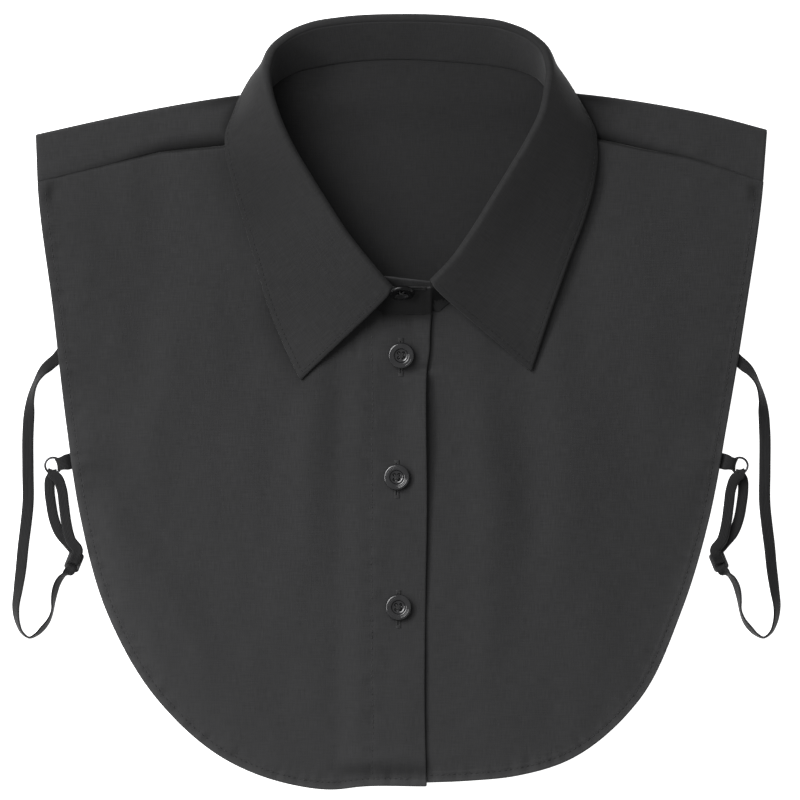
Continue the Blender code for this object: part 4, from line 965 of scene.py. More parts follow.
@dataclass(frozen=True)
class PanelPaintedShading:
    """Painted shade and painted light on the fronts' and the back's colour at the places x and y: 1 is painted black,
    below 0 is painted pale.
    """

    seam_depths: Pair = (0.72, 0.66)  # this pair and the next two are for left and right
    seam_fades: Pair = (50.0, 38.0)
    seam_bands: Pair = (4.6, 3.4)
    seam_line: Pair = (1.0, 0.8)  # behind the seam and before it
    seam_inner: Pair = (50.0, 62.0)
    seam_stays: float = 78.0
    seam_power: float = 0.6
    fold: Rows = ((76.0, 16.0), (63.0, 67.0), (3.6, 0.85))
    leaf_upper: Rows = ((0.27, 12.0), (95.0, 26.0))  # depth and reach, middle and half length
    leaf_tip: Rows = ((0.29, 7.0), (0.16, 1.7), (29.0, 24.0))
    corner: Rows = ((0.65, 3.6), (110.0, 122.0))
    corner_inner: float = 63.0
    stand: Rows = ((0.55, 3.2), (4.5, 11.2), (38.9, 40.0))
    hem: Rows = ((0.30, 3.0), (-34.0, -18.0), (-161.6, 14.0))
    spots: Rows = (
        # x, y, half width, half length, depth: painted shade at both outer ends of the forward seams and on the left
        # front
        (-152.4, 92.5, 2.2, 5.5, 0.42),
        (156.4, 92.5, 2.2, 5.5, 0.42),
        (-126, 58, 24, 42, 0.11),
    )
    # painted light along the outline, stronger low down and at the lower left
    painted_light_low: Pair = (-60.0, 20.0)
    painted_light_sides: Pair = (-88.0, 38.0)
    painted_light_narrow: tuple[float, ...] = (1.6, 0.11, 0.16, 0.10, 0.06)  # painted light: reach; all over, low, at the left, at the right
    painted_light_broad: tuple[float, ...] = (10.0, 0.02, 0.05, 0.13, 0.10)

    def depth(self, x: Array, y: Array) -> Array:
        """The strongest painted shade at each place, less the painted light beside the outline."""
        edge = section("edge_x", "edge_y")
        leaf, other = (nearest(x, y, Curve(part).part(80))[0] for part in (edge[:9], edge[-9:]))
        found = [self.seams(x, y), self.folds(x, y), self.leaf(x, y, leaf), self.stitched(x, y)]
        # painted shade beside the leaves' outer edges, out at the shoulders
        (depth, reach), ramp = self.corner
        corner = depth * bell(np.minimum(leaf, other), reach) * ease(y, *ramp)
        found.append(corner * (np.abs(x - MIDDLE_X) > self.corner_inner))
        for at_x, at_y, half_width, half_length, depth in self.spots:
            found.append(depth * bell(x - at_x, half_width) * bell(y - at_y, half_length))
        return np.maximum.reduce(found) - self.wear_and_painted_light(x, y)

    def seams(self, x: Array, y: Array) -> Array:
        """Painted shade along the forward seams: a bell across them that is broad behind the seam and fades from the
        collar.
        """
        left = x < MIDDLE_X
        past, away = y - line_y(FORWARD_SEAMS, x), np.abs(x - MIDDLE_X)
        near = bell(np.maximum(away - self.seam_stays, 0.0), np.where(left, *self.seam_fades))
        near = near * ease(away, *self.seam_inner)
        behind, before = self.seam_line
        reach = np.where(past > 0.0, behind + np.where(left, *self.seam_bands) * near, before)
        return np.where(left, *self.seam_depths) * near**self.seam_power * bell(past, reach)

    def folds(self, x: Array, y: Array) -> Array:
        """Painted shade under the shoulder folds beside the collar: a bell of the distance to the fold."""
        (stays, fade), ramp, (reach, depth) = self.fold
        away = np.abs(x - MIDDLE_X)
        near = bell(np.maximum(away - stays, 0.0), fade) * ease(away, *ramp)
        return depth * near * bell(line_y(SHOULDERS, x) - y, reach)

    def leaf(self, x: Array, y: Array, away: Array) -> Array:
        """Painted shade outside the left leaf: bells of the distance to it, one pair for its tip and one for its upper
        part.
        """
        (depth, reach), (middle, half) = self.leaf_upper
        upper = depth * bell(away, reach) * bell(y - middle, half)
        *bands, (middle, half) = self.leaf_tip
        tip = sum(depth * bell(away, reach) for depth, reach in bands) * bell(y - middle, half)
        return np.maximum(upper, tip) * (x < 0.0)

    def stitched(self, x: Array, y: Array) -> Array:
        """Painted shade below the stand and above the centre hem: bells of the distance below and above a level line.
        """
        (depth, reach), (middle, half), (level, top) = self.stand
        stand = depth * bell(np.maximum(level - y, 0.0), reach) * (np.abs(x - middle) < half) * (y < top)
        (depth, reach), ramp, (level, end) = self.hem
        return np.maximum(stand, depth * bell(y - level, reach) * ease(x, *ramp) * (x < end))

    def wear_and_painted_light(self, x: Array, y: Array) -> Array:
        """Painted light beside the outline: how much paler the cloth is painted there.

        A narrow bell of the distance to it and a broad one, both stronger low down and at the lower sides.
        """
        away = np.minimum(*(nearest(x, y, Curve(rows).part(400))[0] for rows in OUTLINES.values()))
        low = 1.0 - ease(y, *self.painted_light_low)
        middle, half = self.painted_light_sides
        total = 0.0
        for reach, all_over, lower, left, right in (self.painted_light_narrow, self.painted_light_broad):
            share = all_over + lower * low + np.where(x < 0.0, left, right) * bell(y - middle, half)
            total = total + share * bell(away, reach)
        return total


PANEL_PAINTED_SHADING = PanelPaintedShading()


def store_painted_shading(piece: bpy.types.Object, painted_at: Callable[[Array, Array], Array]) -> bpy.types.Object:
    """Stores the painted shade and painted light on every point of a piece, for the cloth's recipe.

    Args:
        piece: the piece.
        painted_at: gives the painted shade, with painted light below 0, from the places across and onward.

    Returns:
        The piece.
    """
    vertices = piece.data.vertices
    places = np.empty(3 * len(vertices))
    vertices.foreach_get("co", places)
    places = places.reshape(-1, 3) / MM - SHIFT
    depth = painted_at(places[:, 0], places[:, 1]).astype(np.float32)
    piece.data.attributes.new(PAINTED_SHADE_AND_LIGHT, "FLOAT", "POINT").data.foreach_set("value", depth)
    return piece


# ---- panels
@dataclass
class Front:
    """One front: a hemmed panel, on the left with a stitched-down facing along the front edge.

    Its reliefs are heights in millimetres at the places x and y of the plan.
    """

    side: str
    wall: float = 0.5
    hem_wall: float = 0.95
    hem_width: float = 4.2
    hem_rise: float = 0.16
    stitch_inset: float = 2.9
    stitch_pitch: float = 2.5
    thread_radius: float = 0.16
    valley: Pair = (0.08, 0.55)  # depth and reach of the dent along the hem's stitches
    pucker: Pair = (0.32, 4.2)  # height and reach of the waves beside them
    centre_hem: Pair = (0.5, 11.0)  # height of the swell above the hem at the placket, and its distance
    facing_x: float = -10.4
    facing_y: Pair = (30.0, -164.0)
    facing_rise: float = 0.16
    facing_valley: Pair = (0.14, 0.6)
    facing_pucker: Pair = (0.28, 3.4)
    columns: int = 168
    rows: int = 212
    edge_droop: float = 1.1
    right_droop: float = 0.45  # share of it on the right
    surface: float = 0.30  # of the panel's face over the middle height
    outline: Curve = field(init=False)
    start: float = field(init=False)
    edge_line: Array = field(init=False)
    seam_line: Array = field(init=False)

    def __post_init__(self) -> None:
        """Works out the plan of the free edge and of the forward seam."""
        self.outline, seam = Curve(OUTLINES[self.side]), Curve(FORWARD_SEAMS[self.side])
        self.start = self.outline.share_where(1, seam.points[0, 1] - SEAM_GAP / 2)
        self.edge_line = self.outline.part(700, self.start)
        self.seam_line = seam.part(200) - (0.0, SEAM_GAP / 2)

    def facing_line(self, y: Array) -> Array:
        """The x of the facing's stitch line, which strays a little."""
        return self.facing_x + 0.35 * ripples(y, 0 * y, 60.0, 21, 6)

    def relief(self, x: Array, y: Array) -> Array:
        """Relief of the face: drape unevenness, hem band, puckers along stitching, and the seam's dip.

        A pucker is a wave along the stitch line with a bell across it. The hem is a step up at its
        width, and the stitch line a narrow valley.
        """
        away, run = nearest(x, y, self.edge_line)
        seed = 3 if self.side == "left" else 8
        soft = 0.22 * ripples(x, y * 0.45, 26.0, seed) + 0.05 * ripples(x, y * 0.7, 9.0, seed + 1)
        from_stitches = away - self.stitch_inset
        pucker, pucker_reach = self.pucker
        valley, valley_reach = self.valley
        total = soft * ease(away, 0.0, 12.0) - self.droop(x, y, away) + DRAPE.seam_valley(x, y)
        total += pucker * ripples(run, away * 0.3, 6.0, seed + 2, 12) * bell(from_stitches, pucker_reach)
        total += self.hem_rise * (1.0 - ease(away, self.hem_width - 0.5, self.hem_width + 0.6))
        total -= valley * bell(from_stitches, valley_reach)
        swell, inset = self.centre_hem
        placket = ease(x, -27.0, -22.0) * (1.0 - ease(x, 15.0, 40.0)) * (y < CORNER_Y)
        total += swell * placket * bell(away - inset, 4.4)
        seam_away, seam_run = nearest(x, y, self.seam_line)
        total += 0.12 * ripples(seam_run, seam_away * 0.2, 9.0, seed + 3, 8) * bell(seam_away, 5.0)
        return total + self.facing(x, y) if self.side == "left" else total

    def facing(self, x: Array, y: Array) -> Array:
        """Relief of the facing: a step up at its stitch line, the line's valley and its puckers."""
        (valley, valley_reach), (pucker, pucker_reach) = self.facing_valley, self.facing_pucker
        from_line = x - self.facing_x - 0.35 * ripples(y, x * 0.05, 60.0, 21, 6)
        step = self.facing_rise * ease(from_line, -0.4, 0.8) - valley * bell(from_line, valley_reach)
        return step + pucker * ripples(y, x * 0.3, 7.0, 22, 9) * bell(from_line, pucker_reach)

    def droop(self, x: Array, y: Array, away: Array) -> Array:
        """How far the edge sinks past the back's outline, less where straps and tabs pass under it."""
        free = 1.0 - ease(y, 40.0, 90.0)
        for at_x, at_y, _, reach in DRAPE.lifts():
            free = free * (1.0 - bell(np.hypot(x - at_x, y - at_y), reach * 1.6))
        share = 1.0 if self.side == "left" else self.right_droop
        return self.edge_droop * share * free * (1.0 - ease(away, 0.0, 16.0))

    def face(self, plan: Array) -> Array:
        """Points on the panel's face over plan points."""
        x, y = plan[..., 0], plan[..., 1]
        middle = DRAPE.left_front(x, y) if self.side == "left" else DRAPE.upper(x, y)
        return np.stack([x, y, middle + self.relief(x, y) + self.surface], axis=-1)

    def normals(self, plan: Array) -> Array:
        """Normals of the panel's face over plan points, from slopes over a millimetre."""
        step = 0.5
        slopes = [self.face(plan + way)[..., 2] - self.face(plan - way)[..., 2] for way in step * np.eye(2)]
        return unit(np.stack([-slopes[0], -slopes[1], np.full(slopes[0].shape, 2 * step)], axis=-1))

    def build(self) -> bpy.types.Object:
        """The panel: a grid blended between seam and neckline, free edge and front edge."""
        u, v = crowded(self.columns, 11, 0.035), crowded(self.rows, 12, 0.022)
        corner = self.outline.share_where(1, CORNER_Y)
        front_edge = Curve(FRONT_EDGES[self.side])
        neck = NECK_CURVE.part(80, share_of(f"{self.side}_6"), 0.0 if self.side == "left" else 1.0)
        neck = np.vstack([neck, front_edge.points[:1]])
        seam_part = along(self.seam_line, np.clip(u * 2, 0.0, 1.0))
        neck_part = along(neck, np.clip(u * 2 - 1, 0.0, 1.0))
        top = np.where(u[:, None] < 0.5, seam_part, neck_part)
        left = along(self.outline.part(200, self.start, corner), v)
        bottom = along(self.outline.part(200, corner), u)
        right = along(front_edge.part(200), v)
        left[0], left[-1], right[0], right[-1] = top[0], bottom[0], top[-1], bottom[-1]
        plan = coons(top, bottom, left, right, u, v)
        away, _ = nearest(plan[..., 0], plan[..., 1], self.edge_line)
        thin = ease(away, self.hem_width - 0.6, self.hem_width + 0.6)
        wall = self.hem_wall + (self.wall - self.hem_wall) * thin
        points = self.face(plan)
        points[..., 2] -= wall / 2
        node = f"front_{self.side}"
        made = add_sheet(points, wall.ravel(), Finish.COTTON, plan.reshape(-1, 2), node, "cotton")
        return store_painted_shading(made, PANEL_PAINTED_SHADING.depth)

    def stitching(self) -> None:
        """The hem's row of stitches, and on the left the facing's row."""
        flat = np.column_stack([self.edge_line, np.zeros(len(self.edge_line))])
        inward = np.cross(UP, unit(np.gradient(flat, axis=0))) * (1.0 if self.side == "left" else -1.0)
        rows = [(flat + inward * self.stitch_inset)[8:-14, :2]]
        if self.side == "left":
            y = np.linspace(*self.facing_y, 400)
            rows.append(np.stack([self.facing_line(y), y], axis=1))
        parts = [
            stitch_row(self.face(row), self.normals(row), self.stitch_pitch, self.thread_radius) for row in rows
        ]
        add_mesh(f"front_{self.side}_stitches", *joined(parts), Finish.THREAD, "cotton")


@dataclass
class Back:
    """The back: flat under the fronts, turned over both shoulders in a strip that meets the fronts."""

    wall: float = 0.5
    inset: float = 8.0
    inset_y: Pair = (62.0, 100.0)
    centre: Pair = (2.0, -20.0)
    sink: float = 0.2
    lift: float = 0.1
    top_share: float = 0.012  # of the outline, passed over below the shoulder
    hem_ends: Pair = (-2.0, 6.0)  # where the two halves of the hem are bridged
    shoulder_columns: int = 60
    neck_columns: int = 90
    rows: int = 120
    fold_steps: int = 14
    strip_rows: int = 26

    def inset_edge(self, points: Array) -> Array:
        """The outline drawn in toward the centre below the armholes."""
        share = 1.0 - ease(points[:, 1], *self.inset_y)
        away = points - np.array(self.centre)
        return points - away * (self.inset * share / np.linalg.norm(away, axis=1))[:, None]

    def strip_relief(self, x: Array, y: Array, seam: Array) -> Array:
        """Relief of the strip: a raised seam allowance beside the seam, its dip, and slight waves."""
        away, run = nearest(x, y, seam)
        allowance = 0.15 * (1.0 - ease(away, 6.5, 8.0))
        waves = 0.16 * ripples(run, away * 0.35, 11.0, 31, 9) * bell(away, 7.0)
        return allowance + DRAPE.seam_valley(x, y) + waves + 0.12 * ripples(x, y, 17.0, 32)

    def strip(self, side: str) -> Array:
        """A side's rows from the flat back round the shoulder's half circle and forward to the seam."""
        columns = np.linspace(0.0, 1.0, self.shoulder_columns)
        top = along(Curve(SHOULDERS[side]).part(80), columns)
        seam = Curve(FORWARD_SEAMS[side]).part(80) + (0.0, SEAM_GAP / 2)
        end = along(seam, columns)
        end[-1, 0] = top[-1, 0]
        x, y = top[:, 0], top[:, 1]
        low = DRAPE.back(x, y - DRAPE.fold_inset) - self.sink
        high = DRAPE.upper(x, y - DRAPE.fold_inset) + self.lift
        radius = (high - low) / 2
        turn = np.linspace(0.0, math.pi, self.fold_steps + 1)[:, None]
        fold_y = y - radius + radius * np.sin(turn)
        fold = np.dstack([np.broadcast_to(x, fold_y.shape), fold_y, low + radius * (1 - np.cos(turn))])
        share = np.linspace(0.0, 1.0, self.strip_rows + 1)[1:, None] ** 0.9
        plan_x = x + (end[:, 0] - x) * share
        plan_y = y - radius + (end[:, 1] - y + radius) * share
        relief = self.strip_relief(plan_x, plan_y, seam) * ease(share, 0.0, 0.4)
        return np.concatenate([fold, np.dstack([plan_x, plan_y, DRAPE.upper(plan_x, plan_y) + self.lift + relief])])

    def plan(self, left_top: Array, right_top: Array) -> Array:
        """The flat part's plan: both shoulders and the neckline above, the drawn-in outline at its sides and below."""
        neck = NECK_CURVE.part(160, share_of("left_8"), share_of("right_8"))
        top = np.vstack([left_top, along(neck, np.linspace(0.0, 1.0, self.neck_columns)), right_top])
        u, v = np.linspace(0.0, 1.0, len(top)), np.linspace(0.0, 1.0, self.rows)
        edges, hems = [], []
        for side, end in (("left", top[0]), ("right", top[-1])):
            curve = Curve(OUTLINES[side])
            corner = curve.share_where(1, CORNER_Y)
            edge = self.inset_edge(curve.part(200, self.top_share, corner))
            hems.append(self.inset_edge(curve.part(200, corner)))
            edges.append(along(np.vstack([end, edge[edge[:, 1] < end[1] - 1.0]]), v))
        (left_end, right_end), (left, right) = self.hem_ends, hems
        bottom = along(np.vstack([left[left[:, 0] < left_end], right[::-1][right[::-1, 0] > right_end]]), u)
        edges[0][-1], edges[1][-1] = bottom[0], bottom[-1]
        return coons(top, bottom, *edges, u, v)

    def build(self) -> bpy.types.Object:
        """The flat grid and both strips as one sheet, joined along the shoulders."""
        left, right = self.strip("left"), self.strip("right")[:, ::-1]
        plan = self.plan(left[0, :, :2], right[0, :, :2])
        x, y = plan[..., 0], plan[..., 1]
        height = DRAPE.back(x, y) - self.sink
        height += 0.10 * (1 + ripples(x, y * 0.6, 34.0, 41)) * ease(y, -160.0, -120.0)
        rows, columns = height.shape
        count = self.shoulder_columns
        neck = slice(count, -count)
        height[0] = np.hstack([left[0, :, 2], DRAPE.neck(x[0, neck], y[0, neck]) - self.sink, right[0, :, 2]])
        points, uv = [np.dstack([plan, height]).reshape(-1, 3)], [plan.reshape(-1, 2)]
        faces = [grid_faces(rows, columns)]
        used = rows * columns
        for strip, first in ((left[1:], 0), (right[1:], columns - count)):
            index = used + np.arange(len(strip) * count).reshape(-1, count)
            index = np.vstack([first + np.arange(count), index])
            corners = (index[:-1, :-1], index[:-1, 1:], index[1:, 1:], index[1:, :-1])
            faces.append(np.stack([corner.ravel() for corner in corners], axis=1))
            points.append(strip.reshape(-1, 3))
            uv.append(strip[..., :2].reshape(-1, 2) * (1.0, -1.0))
            used += len(points[-1])
        points, faces, uv = np.vstack(points), np.vstack(faces), np.vstack(uv)
        if sheet_normals(points, faces)[: rows * columns, 2].sum() < 0:
            faces = faces[:, ::-1]
        points, faces, uv = shell(points, faces, self.wall, uv)
        made = add_mesh("back_cloth", points, faces, Finish.COTTON, "cotton", uv, "back")
        # the back's upper side takes the darker copy of the cotton: painted shade
        made.data.materials.append(Finish.INSIDE.material())
        inner = np.zeros(len(faces), np.int32)
        inner[: (rows - 1) * (columns - 1)] = 1
        made.data.polygons.foreach_set("material_index", inner)
        return store_painted_shading(made, PANEL_PAINTED_SHADING.depth)


# ---- collar
@dataclass
class Collar:
    """Stand and fall: the fall rolls over the stand's top edge and lies out over the fronts."""

    wall: float = 1.0
    columns: int = 300
    roll: float = 2.3
    roll_radius: float = 1.6
    roll_turn: float = 150.0
    roll_pull: float = 5.0
    roll_rows: int = 16
    drop_rows: int = 60
    stand_rows: int = 22
    end_columns: int = 26
    opening_centre: Pair = (5.0, 95.0)
    left_end: Rows = ((15.5, 38.9), (15.3, 50.5, 19.6))  # foot and top of the stand's end
    right_end: Rows = ((-4.9, 42.0), (-4.9, 55.2, 17.9))
    foot_gap: float = 0.25
    clearance: float = 1.05  # between the middles of the fall and of what it lies on
    fold_clearance: Pair = (0.6, 9.0)  # more over the shoulder folds, and its reach
    softness: float = 0.3
    edge_lift: float = 1.9
    lift_ramp: float = 0.45
    inner_thin: float = 0.22
    turnings: Pair = (4.4, 5.6)
    groove: tuple[float, ...] = (0.18, 1.9, 0.5)  # of the edge stitching: depth, inset and reach
    stitch_inset: float = 2.0
    stitch_pitch: float = 2.3
    thread_radius: float = 0.14
    painted_shading_spots: Rows = (
        # x, y, reach, depth of colour: painted shade at the left leaf's top and near the right leaf's tip, painted
        # light at the left leaf's tip and on the right leaf
        (-70, 96, 24, 0.21),
        (-41, 20, 20, -0.06),
        (57, 52, 24, -0.065),
        (60, 14, 14, 0.06),
    )
    without_painted_shade: Rows = (
        # from x, to x, from y, to y: where the stand's outer side has no painted shade and keeps the paler copy of its
        # cloth
        (-5, 17, 50.1, 59.9),
        (16.6, 30.2, 0, 44.4),
    )
    stand_grid: Array = field(init=False)
    fall_grid: Array = field(init=False)

    def __post_init__(self) -> None:
        """Works out the grids of both."""
        neck, fold, swell, edge = self.rails()
        top, rise, outer = self.stand_frame(neck, fold)
        self.stand_grid = self.stand(neck, top)
        self.fall_grid = self.fall((top, rise, outer), swell, edge)

    def rails(self) -> tuple[Array, Array, Array, Array]:
        """Neck edge, fold, swell and outer edge, one point for each column."""
        shares = np.linspace(0.0, 1.0, self.columns)
        neck = NECK_CURVE.at(shares)
        neck = np.column_stack([neck, DRAPE.neck(neck[:, 0], neck[:, 1])])
        fold_plan = section("fold_x", "fold_y")
        fold = Curve(section("fold_x", "fold_y", "fold_z"), SECTION_STOPS).at(shares)
        edge_plan, edge_z = section("edge_x", "edge_y"), section("edge_z")[:, 0]
        rests = np.isnan(edge_z)
        edge_z = np.where(rests, self.resting(edge_plan[:, 0], edge_plan[:, 1]), edge_z)
        edge = Curve(np.column_stack([edge_plan, edge_z]), SECTION_STOPS).at(shares)
        onward = np.gradient(fold_plan, SECTION_STOPS, axis=0)
        outward = np.stack([-onward[:, 1], onward[:, 0]], axis=1)
        outward = unit(np.where(rests[:, None], edge_plan - fold_plan, outward))
        swell_plan = fold_plan + outward * section("swell")
        swell = Curve(np.column_stack([swell_plan, section("swell_z")]), SECTION_STOPS).at(shares)
        return neck, fold, swell, edge

    def resting(self, x: Array, y: Array) -> Array:
        """Middle of the fall where it lies on a front or round the shoulder fold."""
        more, reach = self.fold_clearance
        below = np.where(x < 0.0, DRAPE.left_front(x, y), DRAPE.upper(x, y))
        return below + self.clearance + more * bell(y - line_y(SHOULDERS, x), reach)

    def stand_frame(self, neck: Array, fold: Array) -> tuple[Array, Array, Array]:
        """At each column, from neck edge and fold: the stand's top edge, the way up its face and its outer normal."""
        rise = unit(fold - neck)
        outer = unit(np.cross(np.gradient(fold, axis=0), rise))
        if (outer[:, :2] * (fold[:, :2] - np.array(self.opening_centre))).sum() < 0:
            outer = -outer
        top = fold - rise * self.roll - outer * self.roll_radius / 2
        rise = unit(top - neck)
        outer = unit(outer - rise * (outer * rise).sum(axis=1)[:, None])
        return top, rise, outer

    def fall(self, start: tuple[Array, Array, Array], swell: Array, edge: Array) -> Array:
        """The fall: a roll over the stand's top edge, then a cubic to its outer edge.

        The cubic leaves the roll straight on and is drawn toward the swell. Over a front it stays above
        it, with a softened meeting of both heights, and the right leaf's edge is lifted.

        Args:
            start: what stand_frame gives.
            swell: the point past the fold that draws the cubic.
            edge: the outer edge.

        Returns:
            The grid's points, from the stand to the edge.
        """
        top, rise, outer = start
        turn = np.radians(np.linspace(0.0, self.roll_turn, self.roll_rows))[:, None, None]
        roll = top + outer * self.roll_radius * (1 - np.cos(turn)) + rise * self.roll_radius * np.sin(turn)
        pulled = roll[-1] + (rise * np.cos(turn[-1]) + outer * np.sin(turn[-1])) * self.roll_pull
        t = np.linspace(0.0, 1.0, self.drop_rows + 1)[1:, None, None] ** 1.05
        s = 1 - t
        drop = s**3 * roll[-1] + 3 * s**2 * t * pulled + 3 * s * t**2 * swell + t**3 * edge
        x, y, z = drop[..., 0], drop[..., 1], drop[..., 2]
        over_front = y < line_y(SHOULDERS, x) + 1.0
        floor = np.where(over_front, self.resting(x, y), self.wall / 2)
        softened = floor + 0.5 * (z - floor + np.sqrt((z - floor) ** 2 + self.softness))
        share = np.linspace(0.0, 1.0, self.columns)
        low, high = share_of("right_7"), share_of("right_tip")
        lifted = ease(share, low, low + 0.08) * (1.0 - ease(share, high - 0.05, high + 0.02))
        lift = self.edge_lift * lifted * ease(t[:, 0], self.lift_ramp, 1.0)
        z = np.where(over_front, softened, np.maximum(z, floor)) + lift
        return np.concatenate([roll, np.dstack([x, y, z])])

    def stand(self, neck: Array, top: Array) -> Array:
        """The stand: ruled from the neck edge to its top edge, and on past both ends of the neck."""
        shares = np.linspace(1.0, 0.0, self.end_columns, endpoint=False)[:, None]
        rails = []
        for rail, row in ((neck, 0), (top, 1)):
            left, right = np.array(self.left_end[row]), np.array(self.right_end[row])
            if row == 0:
                left, right = np.append(left, DRAPE.left_front(*left)), np.append(right, DRAPE.upper(*right))
            before, after = rail[0] + (left - rail[0]) * shares, rail[-1] + (right - rail[-1]) * shares
            rails.append(np.vstack([before, rail, after[::-1]]))
        foot, head = rails
        foot = foot + unit(head - foot) * self.foot_gap
        return foot + (head - foot) * np.linspace(0.0, 1.0, self.stand_rows)[:, None, None]

    def edge_wall(self, grid: Array, free_edge: bool) -> Array:
        """Thickness of a pressed piece: full over the turnings, less inside, with the stitching's groove.

        A free edge is a last row that is sewn too.
        """
        down, across = runs(grid, 0), runs(grid, 1)
        away = np.minimum(across, across[:, -1:] - across)
        if free_edge:
            away = np.minimum(away, down[-1] - down)
        depth, inset, reach = self.groove
        return self.wall - self.inner_thin * ease(away, *self.turnings) - depth * bell(away - inset, reach)

    def build(self) -> tuple[bpy.types.Object, bpy.types.Object]:
        """The stand and the fall as pressed shells."""
        pieces = []
        # the stand takes the paler copy of the cloth: painted light
        for node, grid, finish in (
            ("collar_stand", self.stand_grid, Finish.LINING),
            ("collar_fall", self.fall_grid, Finish.COLLAR),
        ):
            down = runs(grid, 0)
            uv = np.dstack([np.broadcast_to(runs(grid, 1)[0], down.shape), down]).reshape(-1, 2)
            wall = self.edge_wall(grid, node == "collar_fall").ravel()
            pieces.append(add_sheet(grid, wall, finish, uv, node, "collar_cotton"))
        stand, fall = pieces
        self.paint_outside_shade(stand)
        return stand, store_painted_shading(fall, self.painted_shading)

    def painted_shading(self, x: Array, y: Array) -> Array:
        """Painted shade and painted light on the fall, as the depth of its colour: a sum of round bells."""
        return sum(depth * bell(np.hypot(x - at_x, y - at_y), reach) for at_x, at_y, reach, depth in self.painted_shading_spots)

    def paint_outside_shade(self, stand: bpy.types.Object) -> None:
        """Paints shade on the stand's faces that look away from the neck opening, with a darker copy of its cloth."""
        polygons = stand.data.polygons
        centres, normals = np.empty(3 * len(polygons)), np.empty(3 * len(polygons))
        polygons.foreach_get("center", centres)
        polygons.foreach_get("normal", normals)
        plan = centres.reshape(-1, 3)[:, :2] / MM
        away = plan - np.array(self.opening_centre)
        painted_shade_faces = (away * normals.reshape(-1, 3)[:, :2]).sum(axis=1) > 0.0
        x, y = plan.T
        for left, right, low, high in self.without_painted_shade:
            painted_shade_faces &= ~((left < x) & (x < right) & (low < y) & (y < high))
        stand.data.materials.append(Finish.STAND.material())
        polygons.foreach_set("material_index", painted_shade_faces.astype(np.int32))

    def edge_stitching(self) -> None:
        """Edge stitching round the free sides of the fall, just inside them."""
        grid, inset = self.fall_grid, self.stitch_inset
        normals = sheet_normals(grid.reshape(-1, 3), grid_faces(*grid.shape[:2])).reshape(grid.shape)
        if normals[..., 2].sum() < 0:
            normals = -normals
        face = grid + normals * (self.wall / 2 - 0.1)
        down = runs(grid, 0)
        count_rows, count = grid.shape[:2]
        rows = np.arange(count_rows, dtype=float)
        low = np.array([np.interp(down[-1, j] - inset, down[:, j], rows) for j in range(count)])
        across = np.linalg.norm(np.diff(grid, axis=1), axis=2)
        first, last = inset / across[:, 0], count - 1 - inset / across[:, -1]
        start = self.roll_rows + 3
        left_side, right_side = (
            np.stack([rows[start:end], side[start:end]], axis=1)
            for side, end in ((first, int(low[2])), (last, int(low[-3])))
        )
        columns = np.linspace(first[-4], last[-4], 900)
        bottom = np.stack([np.interp(columns, np.arange(count), low), columns], axis=1)
        path = np.vstack([left_side, bottom, right_side[::-1]])
        line, up = bilinear(face, path), unit(bilinear(normals, path))
        row = stitch_row(line, up, self.stitch_pitch, self.thread_radius)
        add_mesh("collar_stitches", *row, Finish.COLLAR_THREAD, "collar_cotton")


def bilinear(grid: Array, places: Array) -> Array:
    """Values of a grid between its points.

    Args:
        grid: the values, by row and column.
        places: a row and a column for each place, which may be fractions.

    Returns:
        The value at each place, from the four round it.
    """
    row = np.clip(places[:, 0], 0, grid.shape[0] - 1.001)
    column = np.clip(places[:, 1], 0, grid.shape[1] - 1.001)
    i, j = row.astype(int), column.astype(int)
    s, t = (row - i)[:, None], (column - j)[:, None]
    near = grid[i, j] * (1 - t) + grid[i, j + 1] * t
    far = grid[i + 1, j] * (1 - t) + grid[i + 1, j + 1] * t
    return near * (1 - s) + far * s


